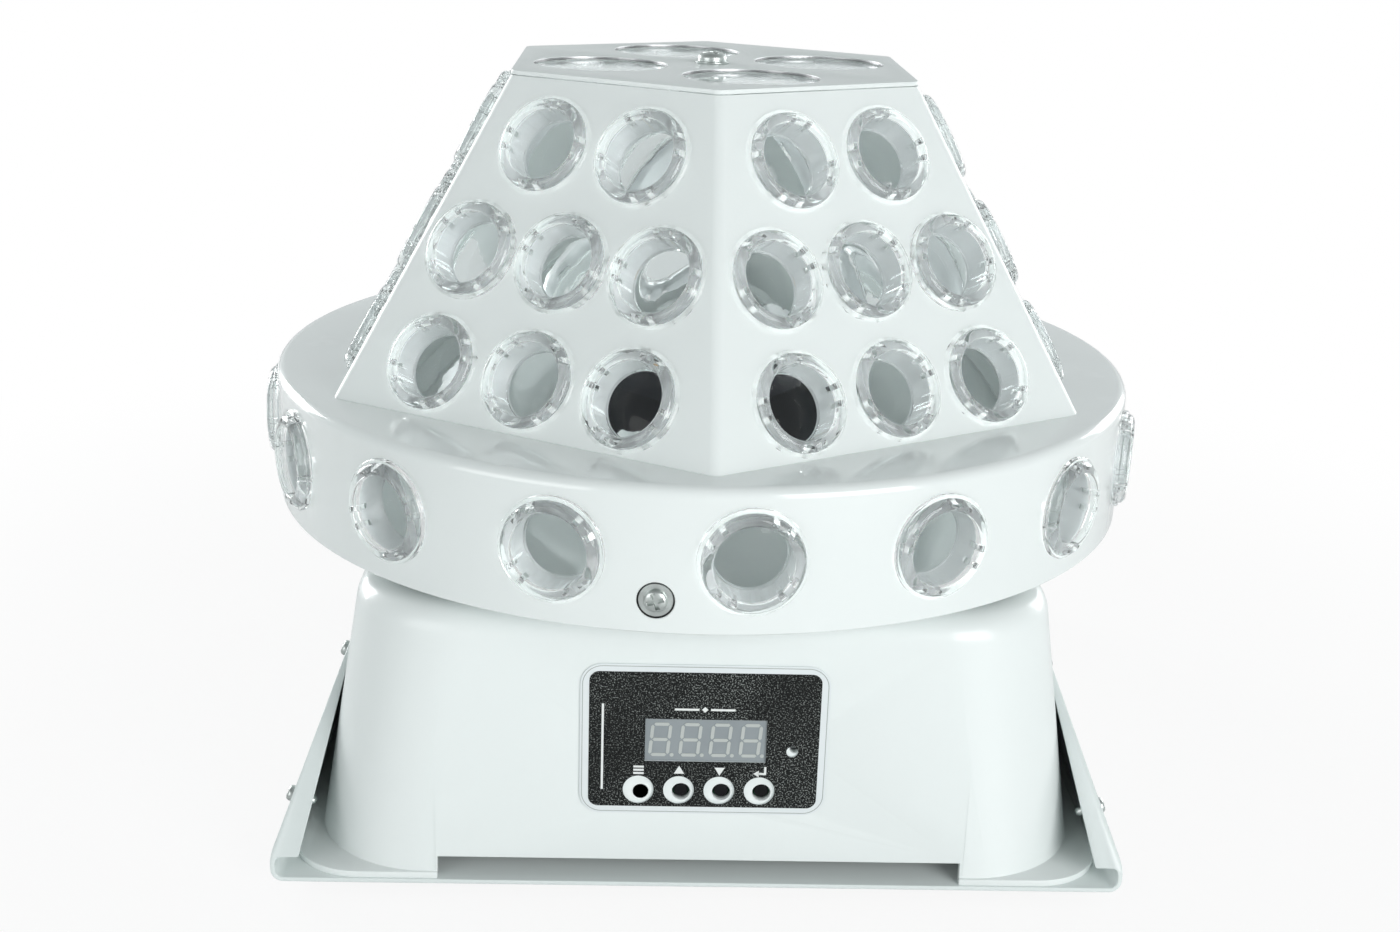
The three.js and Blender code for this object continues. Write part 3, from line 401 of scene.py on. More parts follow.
@contextmanager
def editing(piece, kind="FACE", test=None):
    # edit mode with the edges or faces picked that pass the test on centre and normal or run
    take(piece)
    mesh = piece.data
    kinds = ("VERT", "EDGE", "FACE")
    bpy.context.tool_settings.mesh_select_mode = tuple(kind == other for other in kinds)
    for group in (mesh.vertices, mesh.edges, mesh.polygons):
        group.foreach_set("select", [False] * len(group))
    if test and kind == "EDGE":
        for edge in mesh.edges:
            start, end = (mesh.vertices[i].co for i in edge.vertices)
            edge.select = bool(test((start + end) / 2, (end - start).normalized()))
    elif test:
        for face in mesh.polygons:
            face.select = bool(test(face.center, face.normal))
    bpy.ops.object.mode_set(mode="EDIT")
    if test is None:
        bpy.ops.mesh.select_all(action="SELECT")
    yield mesh
    bpy.ops.object.mode_set(mode="OBJECT")


def modify(piece, kind, **settings):
    take(piece)
    modifier = piece.modifiers.new(kind.lower(), kind)
    for setting, value in settings.items():
        setattr(modifier, setting, value)
    bpy.ops.object.modifier_apply(modifier=modifier.name)
    return piece


def joinPieces(pieces):
    bpy.ops.object.select_all(action="DESELECT")
    for piece in pieces:
        piece.select_set(True)
    bpy.context.view_layer.objects.active = pieces[0]
    if len(pieces) > 1:
        bpy.ops.object.join()
    return pieces[0]


def mergeNear(piece, distance=0.000002):
    # closes up points that lie nearer than the distance, and drops the slivers between them
    with editing(piece):
        bpy.ops.mesh.remove_doubles(threshold=distance)
        bpy.ops.mesh.dissolve_degenerate(threshold=distance)
    return piece


def faceOut(piece):
    with editing(piece):
        bpy.ops.mesh.remove_doubles(threshold=0.000001)
        bpy.ops.mesh.normals_make_consistent(inside=False)
    return piece


def carve(piece, tools, operation="DIFFERENCE"):
    tool = joinPieces(tools)
    modify(piece, "BOOLEAN", operation=operation, object=tool, solver="EXACT")
    bpy.data.objects.remove(tool)
    return mergeNear(piece)


def soften(piece, width, segments=2, angle=35, clamp=True):
    # short edges are merged first, because the bevel gets no wider than the shortest of them
    mergeNear(piece, width * 0.4)
    modify(piece, "BEVEL", width=width, segments=segments, limit_method="ANGLE",
           angle_limit=math.radians(angle), harden_normals=False, use_clamp_overlap=clamp)
    return mergeNear(piece)


def roundEdges(piece, radius, segments, test):
    with editing(piece, "EDGE", test):
        bpy.ops.mesh.bevel(offset=radius, segments=segments, affect="EDGES")


def paintFaces(piece, material, test=None):
    slots = piece.data.materials
    slots.append(material)
    with editing(piece, "FACE", test):
        piece.active_material_index = len(slots) - 1
        bpy.ops.object.material_slot_assign()
    return piece


def copyOf(piece, matrix):
    twin = piece.copy()
    twin.data = piece.data.copy()
    bpy.context.scene.collection.objects.link(twin)
    twin.data.transform(matrix)
    return twin


def spread(piece, places):
    # copies at all the places, in the piece's stead
    copies = [copyOf(piece, place) for place in places]
    bpy.data.objects.remove(piece)
    return copies


def finishPiece(piece, name, material, body, replaces=(), smoothAngle=40):
    settle(piece)
    piece.name = name
    piece.data.name = name
    if not piece.data.materials:
        piece.data.materials.append(material)
    if smoothAngle:
        bpy.ops.object.shade_smooth_by_angle(angle=math.radians(smoothAngle))
    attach(piece, body)
    if replaces:
        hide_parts(*replaces)
    return piece


def finishCopies(piece, name, places, material, body, replaced=""):
    # copies numbered from 1, in the piece's stead; the number goes into the braces of a body's or node's name
    for number, copy in enumerate(spread(piece, places), 1):
        finishPiece(copy, f"{name}_{number}", material, body.format(number),
                    [replaced.format(number)] if replaced else ())


def spun(places, step, start=0):
    # each place turned about its own axis, some degrees further than the one before
    return [place @ Matrix.Rotation(math.radians(start + step * number), 4, "Z")
            for number, place in enumerate(places, 1)]


def turnUp(profile, segments, ring=False):
    # a turned piece: a circle at the profile's first point, extruded and resized from point to point
    radius, height = profile[0]
    bpy.ops.mesh.primitive_circle_add(
        vertices=segments, radius=radius, location=(0, 0, height), fill_type="NOTHING" if ring else "NGON")
    piece = settle(bpy.context.object)
    extrude = bpy.ops.mesh.extrude_edges_move if ring else bpy.ops.mesh.extrude_region_move
    with editing(piece, "EDGE" if ring else "FACE"):
        for nextRadius, nextHeight in profile[1:]:
            extrude(TRANSFORM_OT_translate={"value": (0, 0, nextHeight - height)})
            share = nextRadius / radius
            bpy.ops.transform.resize(value=(share, share, 1), center_override=(0, 0, nextHeight))
            radius, height = nextRadius, nextHeight
    return piece


def arc(centreRadius, centreHeight, radius, start, end, steps):
    # points of a round stretch of a profile, its turns in degrees from straight outwards
    turns = [math.radians(start + (end - start) * step / steps) for step in range(steps + 1)]
    return [(centreRadius + radius * math.cos(t), centreHeight + radius * math.sin(t)) for t in turns]


def roundBlock(low, high, corner=0, axis="Z", segments=8):
    # a block whose four edges along one axis are rounded
    bpy.ops.mesh.primitive_cube_add(size=1, location=[(a + b) / 2 for a, b in zip(low, high)])
    piece = bpy.context.object
    piece.scale = [b - a for a, b in zip(low, high)]
    settle(piece)
    if corner:
        along = Vector(["XYZ".index(axis) == i for i in range(3)])
        roundEdges(piece, corner, segments, lambda centre, run: abs(run.dot(along)) > 0.99)
    return piece


def wallBlock(middle, halves, depths, corner=0, segments=8):
    # a block in or on an upright wall, from its middle and its half sizes across and up
    (x, z), (wide, tall), (start, end) = middle, halves, depths
    return roundBlock((x - wide, start, z - tall), (x + wide, end, z + tall), corner, "Y", segments)


def rod(radius, start, end, segments=40):
    # a round bar from one point to another
    start, end = Vector(start), Vector(end)
    run = end - start
    bpy.ops.mesh.primitive_cylinder_add(
        vertices=segments, radius=radius, depth=run.length, location=(start + end) / 2,
        rotation=run.to_track_quat("Z", "Y").to_euler())
    return settle(bpy.context.object)


def wallRod(radius, middle, depths, segments=40):
    x, z = middle
    return rod(radius, (x, depths[0], z), (x, depths[1], z), segments)


def upTo(height):
    return Vector((0, 0, height))


def outward(turn, distance, height):
    # a frame on the drum's wall: +Z outwards, +Y up; the turn is measured from the front towards +X
    out = Vector((math.sin(turn), -math.cos(turn), 0))
    along = Vector((math.cos(turn), math.sin(turn), 0))
    facing = Matrix((along, upTo(1), out)).transposed().to_4x4()
    return Matrix.Translation(out * distance + upTo(height)) @ facing


# The lens cup: one clear moulding with a stepped flange, clip windows, a bore and a crowned lens
cupSizes = {
    "flange": 0.0132, "ledge": 0.0012, "ledgeWidth": 0.0009, "rimHeight": 0.003, "rim": 0.0103, "lip": 0.0005,
    "bore": 0.0095, "boreFoot": 0.0092, "boreDrop": 0.0012, "draft": 0.00015, "chamfer": 0.0003, "hair": 0.0001,
    "seat": -0.006, "crown": 0.0013, "back": -0.0076, "backRadius": 0.0103, "neck": 0.0113, "segments": 40,
    "clips": 4, "clipSpread": 12, "clipDistance": 0.01075, "clipWidth": 0.0015, "clipDepth": 0.00045,
    "bead": 0.0004,
}


def cupProfile():
    # from the middle of the back, round the flange and the lip, down the bore and over the crowned disc
    size = cupSizes
    flange, rim, foot, height = size["flange"], size["rim"], size["boreFoot"], size["rimHeight"]
    seat, bead, ledge = size["seat"], size["bead"], size["ledge"]
    chamfer, hair = size["chamfer"], size["hair"]
    step = flange - size["ledgeWidth"]
    shoulder = [(rim + r * (step - rim), ledge + z * (height - ledge)) for r, z in arc(0, 0, 1, 12, 84, 6)]
    disc = [(foot * share, seat + size["crown"] * (1 - share * share))
            for share in (0.95, 0.8, 0.6, 0.4, 0.2, 0.06)]
    return [
        (size["backRadius"] - chamfer, size["back"]), (size["backRadius"], size["back"] + chamfer),
        (size["neck"], 0), (flange - hair, 0), (flange, hair), (flange, ledge - chamfer),
        (flange - chamfer, ledge), (step, ledge), *shoulder,
        *arc(rim - chamfer, height - size["lip"], size["lip"], 80, 170, 3),
        (size["bore"], height - size["boreDrop"]), (foot + size["draft"], seat + bead),
        (foot, seat + bead * 1.2), (foot - bead * 0.6, seat + bead * 0.9),
        (foot - bead * 0.8, seat + bead * 0.2), *disc,
    ]


def makeCup():
    size = cupSizes
    wide, deep, far = size["clipWidth"] / 2, size["clipDepth"], size["clipDistance"]
    window = roundBlock((-wide, far - deep, -past), (wide, far + deep, size["rimHeight"] + past))
    turns = [360 / size["clips"] * (clip + 0.5) + side * size["clipSpread"]
             for clip in range(size["clips"]) for side in (-1, 1)]
    windows = spread(window, [Matrix.Rotation(math.radians(turn), 4, "Z") for turn in turns])
    cup = carve(faceOut(turnUp(cupProfile(), size["segments"])), windows)

    def onNeck(centre, normal):
        outwards = normal.x * centre.x + normal.y * centre.y > 0.5 * math.hypot(centre.x, centre.y)
        return size["back"] < centre.z < 0 and outwards

    def onDisc(centre, normal):
        inside = math.hypot(centre.x, centre.y) < size["boreFoot"]
        return centre.z < size["seat"] + size["crown"] and inside and abs(normal.z) > 0.5

    # the rim is clear, the neck behind it frosted by the mould, and the disc polished
    paintFaces(cup, clearRim)
    paintFaces(cup, frostedPlastic, onNeck)
    return paintFaces(cup, clearPlastic, onDisc)


# Dome
domeSizes = {
    "bottomRadius": 0.1115, "topRadius": 0.0609, "wall": 0.0015, "cornerOffset": 0.00173, "hole": 0.0116,
    "holeReach": 0.004, "edge": 0.0002, "cupSpin": 23,
    "rows": ((0.0138, (-0.02884, 0, 0.02884)), (0.04424, (-0.02724, 0, 0.02724)),
             (0.07348, (-0.0142, 0.0142))),
}
sixth = math.pi / 3


def onFace(side, across, up):
    # a frame on a dome face: X across it, Y up the slope, Z outwards
    turn = sixth * (side + 0.5)
    apothem = math.cos(sixth / 2)
    lean = math.atan((domeSizes["bottomRadius"] - domeSizes["topRadius"]) * apothem / (domeTop - drumTop))
    out = Vector((math.sin(turn), -math.cos(turn), 0))
    along = Vector((math.cos(turn), math.sin(turn), 0))
    upSlope = upTo(math.cos(lean)) - out * math.sin(lean)
    normal = along.cross(upSlope)
    place = upTo(drumTop) + out * domeSizes["bottomRadius"] * apothem + along * across + upSlope * up
    return Matrix.Translation(place) @ Matrix((along, upSlope, normal)).transposed().to_4x4()


def cupPlaces():
    return [onFace(side, across, up) for side in range(6)
            for up, row in reversed(domeSizes["rows"]) for across in row]


def makeDome():
    size = domeSizes
    height = domeTop - drumTop
    bpy.ops.mesh.primitive_cone_add(
        vertices=6, radius1=size["bottomRadius"], radius2=size["topRadius"], depth=height,
        end_fill_type="NOTHING", location=(0, 0, drumTop + height / 2))
    dome = settle(bpy.context.object)
    roundEdges(dome, size["cornerOffset"], 6, lambda centre, run: abs(run.z) > 0.5)
    modify(dome, "SOLIDIFY", thickness=size["wall"], offset=-1, use_even_offset=True)
    tool = rod(size["hole"], upTo(-size["holeReach"]), upTo(size["holeReach"]))
    carve(dome, spread(tool, cupPlaces()))
    return soften(dome, size["edge"], 1, 50)


finishPiece(makeDome(), "dome_panels", satinPaint, "head", ["dome_shell"], smoothAngle=30)
cup = makeCup()
finishCopies(copyOf(cup, Matrix()), "dome_lens", spun(cupPlaces(), domeSizes["cupSpin"]), clearPlastic,
             "head", "dome_shell")
print("dome and its cups made")


# Drum
drumSizes = {
    "radius": 0.1197, "shoulder": 0.0026, "wall": 0.0015, "mouthCorner": 0.10688, "segments": 144,
    "edge": 0.0002, "lenses": 16, "firstLens": 4.3, "lensUp": 0.0184, "lensSeat": 0.1197, "hole": 0.0116,
    "screws": 4, "firstScrew": -6.3, "screwUp": 0.0081, "screwHole": 0.0045, "screwSeat": 0.0008,
    "lensSpin": 17, "lensStart": -9, "screwSpin": 70, "screwStart": -50, "topRings": (0.1, 0.08),
    "toolReach": 0.01,
}


def ringOf(count, first, distance, height):
    # frames evenly spaced round the drum's wall, the first at so many degrees
    return [outward(math.radians(first) + 2 * math.pi * i / count, distance, height) for i in range(count)]


def lensPlaces(distance):
    return ringOf(drumSizes["lenses"], drumSizes["firstLens"], distance, drumBottom + drumSizes["lensUp"])


def screwPlaces(distance):
    return ringOf(drumSizes["screws"], drumSizes["firstScrew"], distance, drumBottom + drumSizes["screwUp"])


def inShadedScrewSeat(centre, normal):
    # the wall and floor of the round seats under the screws' washers, painted black as the shade in the gap
    # round each washer
    seat, reach = drumSizes["screwSeat"], drumSizes["screwHole"] + 0.00005
    spots = [place.inverted() @ centre for place in screwPlaces(drumSizes["radius"])]
    return any(math.hypot(spot.x, spot.y) < reach and -1.5 * seat < spot.z < -seat / 8 for spot in spots)


def makeDrum():
    size = drumSizes
    radius, shoulder = size["radius"], size["shoulder"]
    profile = [(radius, drumBottom), *arc(radius - shoulder, drumTop - shoulder, shoulder, 0, 90, 8),
               *((ring, drumTop) for ring in size["topRings"])]
    drum = faceOut(turnUp(profile, size["segments"], ring=True))
    wallFace = max(drum.data.polygons, key=lambda face: face.area * (abs(face.normal.z) < 0.1))
    if wallFace.normal.dot(Vector((wallFace.center.x, wallFace.center.y, 0))) < 0:
        drum.data.flip_normals()
    modify(drum, "SOLIDIFY", thickness=size["wall"], offset=-1, use_even_offset=True)
    bpy.ops.mesh.primitive_cylinder_add(
        vertices=6, radius=size["mouthCorner"], depth=0.02, location=(0, 0, drumTop))
    tools = [settle(bpy.context.object)]
    reach = size["toolReach"]
    for place in lensPlaces(radius):
        tools.append(rod(size["hole"], place @ upTo(-reach), place @ upTo(reach)))
    for place in screwPlaces(radius):
        tools.append(rod(size["screwHole"], place @ upTo(-size["screwSeat"]), place @ upTo(reach), 32))
    carve(drum, tools)
    soften(drum, size["edge"], 1, 50)
    paintFaces(drum, glossPaint)
    # the screw seats are painted black: painted shade round the washers
    return paintFaces(drum, blackPlastic, inShadedScrewSeat)


finishPiece(makeDrum(), "drum_cover", glossPaint, "head", ["drum_housing"], smoothAngle=30)
cupSeats = spun(lensPlaces(drumSizes["lensSeat"]), drumSizes["lensSpin"], drumSizes["lensStart"])
finishCopies(cup, "drum_cup", cupSeats, clearPlastic, "head", "drum_lens_{}")
print("drum and its lenses made")


# Screws
screwSizes = {
    "cross": 0.001, "crossDepth": 0.0013, "crossReach": 0.72, "chamfer": 0.00015, "edge": 0.0001,
    "rimShare": 0.25, "roundness": 0.55, "segments": 36, "topTurn": 25,
}


def makeScrew(headRadius, headHeight, washerRadius=0, washer=0.0006, shank=0.006, shankRadius=0.0018):
    # a pan-head screw with a cross recess, on its washer, pointing down; its seat is at height 0
    size = screwSizes
    chamfer, rim = size["chamfer"], size["rimShare"]
    foot = [(shankRadius * 0.5, -shank - shankRadius * 0.6), (shankRadius, -shank), (shankRadius, 0)]
    if washerRadius:
        foot += [(washerRadius - chamfer, 0), (washerRadius, chamfer), (washerRadius, washer - chamfer),
                 (washerRadius - chamfer, washer)]
    low = washer if washerRadius else 0
    head = [(headRadius, low), *[
        (headRadius * math.cos(t) ** size["roundness"],
         low + headHeight * rim + headHeight * (1 - rim) * math.sin(t))
        for t in (math.radians(9 * step) for step in range(10))]]
    screw = faceOut(turnUp(foot + head, size["segments"]))
    top = low + headHeight
    reach, half = headRadius * size["crossReach"], size["cross"] / 2
    for x, y in ((reach, half), (half, reach)):
        carve(screw, [roundBlock((-x, -y, top - size["crossDepth"]), (x, y, top + past / 2))])
    return soften(screw, size["edge"], 1, 50)


drumScrew = makeScrew(headRadius=0.0028, headHeight=0.0014, washerRadius=0.0042, washer=0.0004)
screwSeats = spun(screwPlaces(drumSizes["radius"] - drumSizes["screwSeat"]), drumSizes["screwSpin"],
                  drumSizes["screwStart"])
finishCopies(drumScrew, "drum_screw", screwSeats, platedSteel, "head")
topScrew = makeScrew(headRadius=0.004, headHeight=0.0024, washerRadius=0.0047, shank=0.011, shankRadius=0.002)
turned = Matrix.Rotation(math.radians(screwSizes["topTurn"]), 4, "Z")
topScrew.data.transform(Matrix.Translation(upTo(plateTop)) @ turned)
finishPiece(topScrew, "top_pan_screw", platedSteel, "head", ["top_screw"])
print("screws made")


# Top plate and its windows
plateSizes = {
    "radius": 0.0609, "cornerOffset": 0.00173, "edge": 0.00025, "window": 0.018, "windowCircle": 0.0315,
    "firstWindow": 17, "windows": 4, "screwHole": 0.0023, "lens": 0.0188, "lensFlange": 0.0014,
    "lensCrown": 0.0012, "lensEdge": 0.0002, "segments": 72,
}


def windowPlaces():
    turns = [math.radians(plateSizes["firstWindow"]) + math.pi / 2 * i for i in range(plateSizes["windows"])]
    reach = plateSizes["windowCircle"]
    return [Vector((reach * math.sin(turn), -reach * math.cos(turn), 0)) for turn in turns]


# the walls of the window holes: bare metal, and their grey is also painted shade inside the holes
def inShadedWindowWall(centre, normal):
    gaps = [abs(math.hypot(centre.x - place.x, centre.y - place.y) - plateSizes["window"])
            for place in windowPlaces()]
    return abs(normal.z) < 0.3 and min(gaps) < 0.0002


def makeTopPlate():
    size = plateSizes
    bpy.ops.mesh.primitive_cylinder_add(
        vertices=6, radius=size["radius"], depth=plateTop - domeTop,
        location=(0, 0, (plateTop + domeTop) / 2))
    plate = settle(bpy.context.object)
    roundEdges(plate, size["cornerOffset"], 6, lambda centre, run: abs(run.z) > 0.9)
    down, up = upTo(domeTop - past), upTo(plateTop + past)
    tools = [rod(size["window"], place + down, place + up, size["segments"]) for place in windowPlaces()]
    tools.append(rod(size["screwHole"], down, up, segments=24))
    carve(plate, tools)
    soften(plate, size["edge"], 2, 50)
    paintFaces(plate, satinPaint)
    # the window walls get machined aluminium, darker than the paint: bare cut edges, and painted shade in the
    # holes
    return paintFaces(plate, machinedAluminium, inShadedWindowWall)


def makeWindow():
    size = plateSizes
    radius, crown, flange, edge = size["lens"], size["lensCrown"], size["lensFlange"], size["lensEdge"]
    under = [(radius * share, -flange - crown * (1 - share * share))
             for share in (0.06, 0.25, 0.45, 0.65, 0.85)]
    profile = [*under, (radius - 2 * edge, -flange), (radius, -flange + 1.5 * edge), (radius, -edge),
               (radius - edge, 0)]
    return faceOut(turnUp(profile, size["segments"]))


finishPiece(makeTopPlate(), "top_cover_plate", satinPaint, "head", ["top_plate"])
windowSeats = [Matrix.Translation(place + upTo(domeTop)) for place in windowPlaces()]
finishCopies(makeWindow(), "top_window", windowSeats, clearPlastic, "head", "top_lens_{}")
print("top plate made")


# Base housing: a drafted moulding with round corners, a round shoulder and a foot flange
housingSizes = {
    "bottomHalfWidth": 0.1, "topHalfWidth": 0.088, "halfDepth": 0.101, "corner": 0.03, "shoulder": 0.007,
    "wall": 0.0022, "flangeHalfWidth": 0.105, "flangeHalfDepth": 0.1016, "flangeCorner": 0.018,
    "flange": 0.0018, "notchHalfWidth": 0.0665, "notchHeight": 0.006, "centreHole": 0.01, "edge": 0.0003,
    "lineWidth": 0.0004, "lineDepth": 0.00012, "lineGap": 0.0006, "lineFoot": 0.0024, "lineTop": 0.007,
    "displayX": 0.0004, "displayHalfWidth": 0.01535, "displayHalfHeight": 0.0073,
    "buttonX": -0.00035, "buttonPitch": 0.0101, "buttonDrop": 0.0145, "buttonHole": 0.00225,
    "micX": 0.0226, "micDrop": 0.0021, "micHole": 0.0012,
}
buttonXs = [housingSizes["buttonX"] + housingSizes["buttonPitch"] * step for step in (-1.5, -0.5, 0.5, 1.5)]
buttonHeight = panelHeight - housingSizes["buttonDrop"]


def draftedBody(inset, low, high):
    # the housing's outer or inner form, as a solid
    size = housingSizes
    slope = (size["bottomHalfWidth"] - size["topHalfWidth"]) / (housingTop - panTop)
    wide = size["bottomHalfWidth"] - slope * (low - panTop) - inset
    narrow = size["bottomHalfWidth"] - slope * (high - panTop) - inset
    deep = size["halfDepth"] - inset
    body = roundBlock((-wide, -deep, low), (wide, deep, high))
    with editing(body, "FACE", lambda centre, normal: normal.z > 0.9):
        bpy.ops.transform.resize(value=(narrow / wide, 1, 1), center_override=(0, 0, high))
    roundEdges(body, size["corner"] - inset, 20, lambda centre, run: abs(run.z) > 0.5)
    top = high - 0.00001
    roundEdges(body, size["shoulder"] - inset, 10, lambda centre, run: centre.z > top and abs(run.z) < 0.01)
    return body


def makeHousing():
    size = housingSizes
    front = -size["halfDepth"]
    low, under, depths = panTop, panTop - 2 * past, (front - past, front + 3 * past)
    body = draftedBody(0, low, housingTop)
    wide, deep = size["flangeHalfWidth"], size["flangeHalfDepth"]
    flange = roundBlock((-wide, -deep, low), (wide, deep, low + size["flange"]), size["flangeCorner"], "Z", 14)
    carve(body, [flange], "UNION")
    carve(body, [draftedBody(size["wall"], under, housingTop - size["wall"])])
    wide = size["notchHalfWidth"]
    notch = roundBlock((-wide, front - 2 * past, under), (wide, front + 0.005, low + size["notchHeight"]))
    display = wallBlock((size["displayX"], panelHeight),
                        (size["displayHalfWidth"], size["displayHalfHeight"]), depths)
    tools = [notch, display, rod(size["centreHole"], upTo(housingTop - 3 * past), upTo(housingTop + past))]
    tools += [wallRod(size["buttonHole"], (x, buttonHeight), depths) for x in buttonXs]
    tools.append(wallRod(size["micHole"], (size["micX"], panelHeight - size["micDrop"]), depths, 24))
    carve(body, tools + backTools())
    mergeNear(body, size["edge"] / 2)
    soften(body, size["edge"], 2, 40)
    lines = []
    for side in (-1, 1):
        # the faint lines that the mould's front insert leaves
        x, half = side * (wide + size["lineGap"]), size["lineWidth"] / 2
        lines.append(roundBlock((x - half, front - past, low + size["lineFoot"]),
                                (x + half, front + size["lineDepth"], housingTop - size["lineTop"])))
    return carve(body, lines)


backSizes = {
    "inletX": 0.036, "inletHalfWidth": 0.0138, "inletHalfHeight": 0.0103, "socketXs": (-0.014, -0.044),
    "socketHole": 0.012, "fuseX": 0.036, "fuseHole": 0.0061, "screwSpin": 40,
}
inletHeight, socketHeight, fuseHeight = (
    sum(corner.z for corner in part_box(node)) / 2 for node in ("power_inlet", "data_in", "fuse_holder"))


def backTools():
    # cuts the holes for the inlet, the sockets and the fuse holder
    size = backSizes
    depths = (housingSizes["halfDepth"] - 3 * past, housingSizes["halfDepth"] + past)
    block = wallBlock((size["inletX"], inletHeight), (size["inletHalfWidth"], size["inletHalfHeight"]), depths)
    rounds = [(size["socketHole"], (x, socketHeight)) for x in size["socketXs"]]
    rounds.append((size["fuseHole"], (size["fuseX"], fuseHeight)))
    return [block] + [wallRod(radius, middle, depths) for radius, middle in rounds]


finishPiece(makeHousing(), "base_moulding", whitePlastic, "base", ["base_housing"],
            smoothAngle=35)
print("housing made")


# Panel label: a silver-white film with a grained black field, plain signs and a display
labelSizes = {
    "halfWidth": 0.0308, "halfHeight": 0.0205, "corner": 0.0055, "back": -0.101, "front": -0.10142,
    "fieldHalfWidth": 0.0286, "fieldHalfHeight": 0.0185, "fieldCorner": 0.0025, "fieldFront": -0.1015,
    "windowHalfWidth": 0.01505, "windowHalfHeight": 0.0058, "buttonHole": 0.00385, "shiftX": -0.0006,
    "shiftUp": 0.0007, "micHole": 0.00145, "micShift": -0.0006, "cut": (-0.104, -0.0995), "edge": 0.00003,
    "outlineInset": 0.00045, "outline": 0.0002, "outlineLift": 0.00002,
}


def labelTools():
    size, house = labelSizes, housingSizes
    cut, micShift = size["cut"], size["micShift"]
    window = wallBlock((house["displayX"], panelHeight),
                       (size["windowHalfWidth"], size["windowHalfHeight"]), cut)
    holes = [wallRod(size["buttonHole"], (x + size["shiftX"], buttonHeight + size["shiftUp"]), cut, 48)
             for x in buttonXs]
    mic = (house["micX"] + micShift, panelHeight - house["micDrop"] + micShift)
    return [window, *holes, wallRod(size["micHole"], mic, cut, 24)]


def makeLabelSheet(halfWidth, halfHeight, corner, back, front):
    sheet = wallBlock((0, panelHeight), (halfWidth, halfHeight), (front, back), corner, 10)
    return soften(carve(sheet, labelTools()), labelSizes["edge"], 1, 50)


def makeEdgeShadeLine():
    # a hairline grey frame on the silver-white film, inset from its edge: painted shade along the label's edge
    size = labelSizes
    sheets = []
    for pull, lift in ((0, size["outlineLift"]), (size["outline"], size["outlineLift"] * 5)):
        inset = size["outlineInset"] + pull
        sheets.append(wallBlock(
            (0, panelHeight), (size["halfWidth"] - inset, size["halfHeight"] - inset),
            (size["front"] - lift, size["front"] + lift), size["corner"] - inset, 10))
    return carve(sheets[0], sheets[1:])


border = makeLabelSheet(labelSizes["halfWidth"], labelSizes["halfHeight"], labelSizes["corner"],
                        labelSizes["back"], labelSizes["front"])
finishPiece(border, "label_border_film", labelBorder, "base", ["control_label"])
field = makeLabelSheet(labelSizes["fieldHalfWidth"], labelSizes["fieldHalfHeight"], labelSizes["fieldCorner"],
                       labelSizes["front"], labelSizes["fieldFront"])
finishPiece(field, "label_black_field", labelFilm, "base", ["control_label"])
# the grey hairline near the label's edge is painted shade along that edge
finishPiece(makeEdgeShadeLine(), "label_edge_shade", edgeShadeInk, "base", ["control_label"],
            smoothAngle=0)

signSizes = {
    "lift": 0.00003, "down": 0.0083, "half": 0.0013, "bar": 0.00028, "menuGap": 0.0009, "titleUp": 0.0085,
    "titleHalf": 0.0072, "dot": 0.0008, "sideX": -0.0252, "sideHalf": 0.0118, "sideDown": 0.002,
}


def flatShape(outline, middle, y, lift):
    # a thin sheet from its outline across and up, round the middle, standing on both sides of depth y
    bpy.ops.mesh.primitive_circle_add(vertices=len(outline), radius=0.001, fill_type="NGON")
    shape = settle(bpy.context.object)
    for corner, (across, up) in zip(shape.data.vertices, outline):
        corner.co = (middle[0] + across, y, middle[1] + up)
    modify(shape, "SOLIDIFY", thickness=lift * 2, offset=0)
    return faceOut(shape)


def makeSigns():
    # three bars, up, down and a return arrow over the buttons, and rules where the photo has words
    size = signSizes
    half, bar, dot = size["half"], size["bar"], size["dot"]
    height, title = panelHeight - size["down"], panelHeight + size["titleUp"]

    def strip(halfRun, halfRise=bar, up=0):
        return [(-halfRun, up - halfRise), (halfRun, up - halfRise), (halfRun, up + halfRise),
                (-halfRun, up + halfRise)]

    menuX, upX, downX, enterX = (x + labelSizes["shiftX"] for x in buttonXs)
    hook = [(-half * 0.3, -half * 0.5 - bar), (half + bar, -half * 0.5 - bar), (half + bar, half),
            (half - bar, half), (half - bar, -half * 0.5 + bar), (-half * 0.3, -half * 0.5 + bar)]
    arrow = [(-half * 0.2, -half * 1.2), (-half * 0.2, half * 0.2), (-half * 1.3, -half * 0.5)]
    rule, ruleX = strip(size["titleHalf"] * 0.42), size["titleHalf"] * 0.62
    shapes = [(strip(half, up=step * size["menuGap"]), (menuX, height)) for step in (-1, 0, 1)]
    shapes += [
        ([(-half, -half * 0.7), (half, -half * 0.7), (0, half)], (upX, height)),
        ([(-half, half * 0.7), (0, -half), (half, half * 0.7)], (downX, height)),
        (hook, (enterX, height)), (arrow, (enterX, height)),
        (rule, (-ruleX, title)), (rule, (ruleX, title)),
        ([(0, -dot), (dot, 0), (0, dot), (-dot, 0)], (0, title)),
        (strip(bar, size["sideHalf"]), (size["sideX"], panelHeight - size["sideDown"])),
    ]
    return joinPieces([flatShape(outline, middle, labelSizes["fieldFront"], size["lift"])
                       for outline, middle in shapes])


finishPiece(makeSigns(), "label_signs", printInk, "base", ["control_label"], smoothAngle=0)

displaySizes = {
    "front": -0.101, "lift": 0.00012, "digits": 4, "pitch": 0.0075, "first": -0.0113, "halfWidth": 0.0022,
    "halfHeight": 0.0042, "bar": 0.00042, "slant": 5, "dot": 0.0005, "dotX": 0.0033,
}


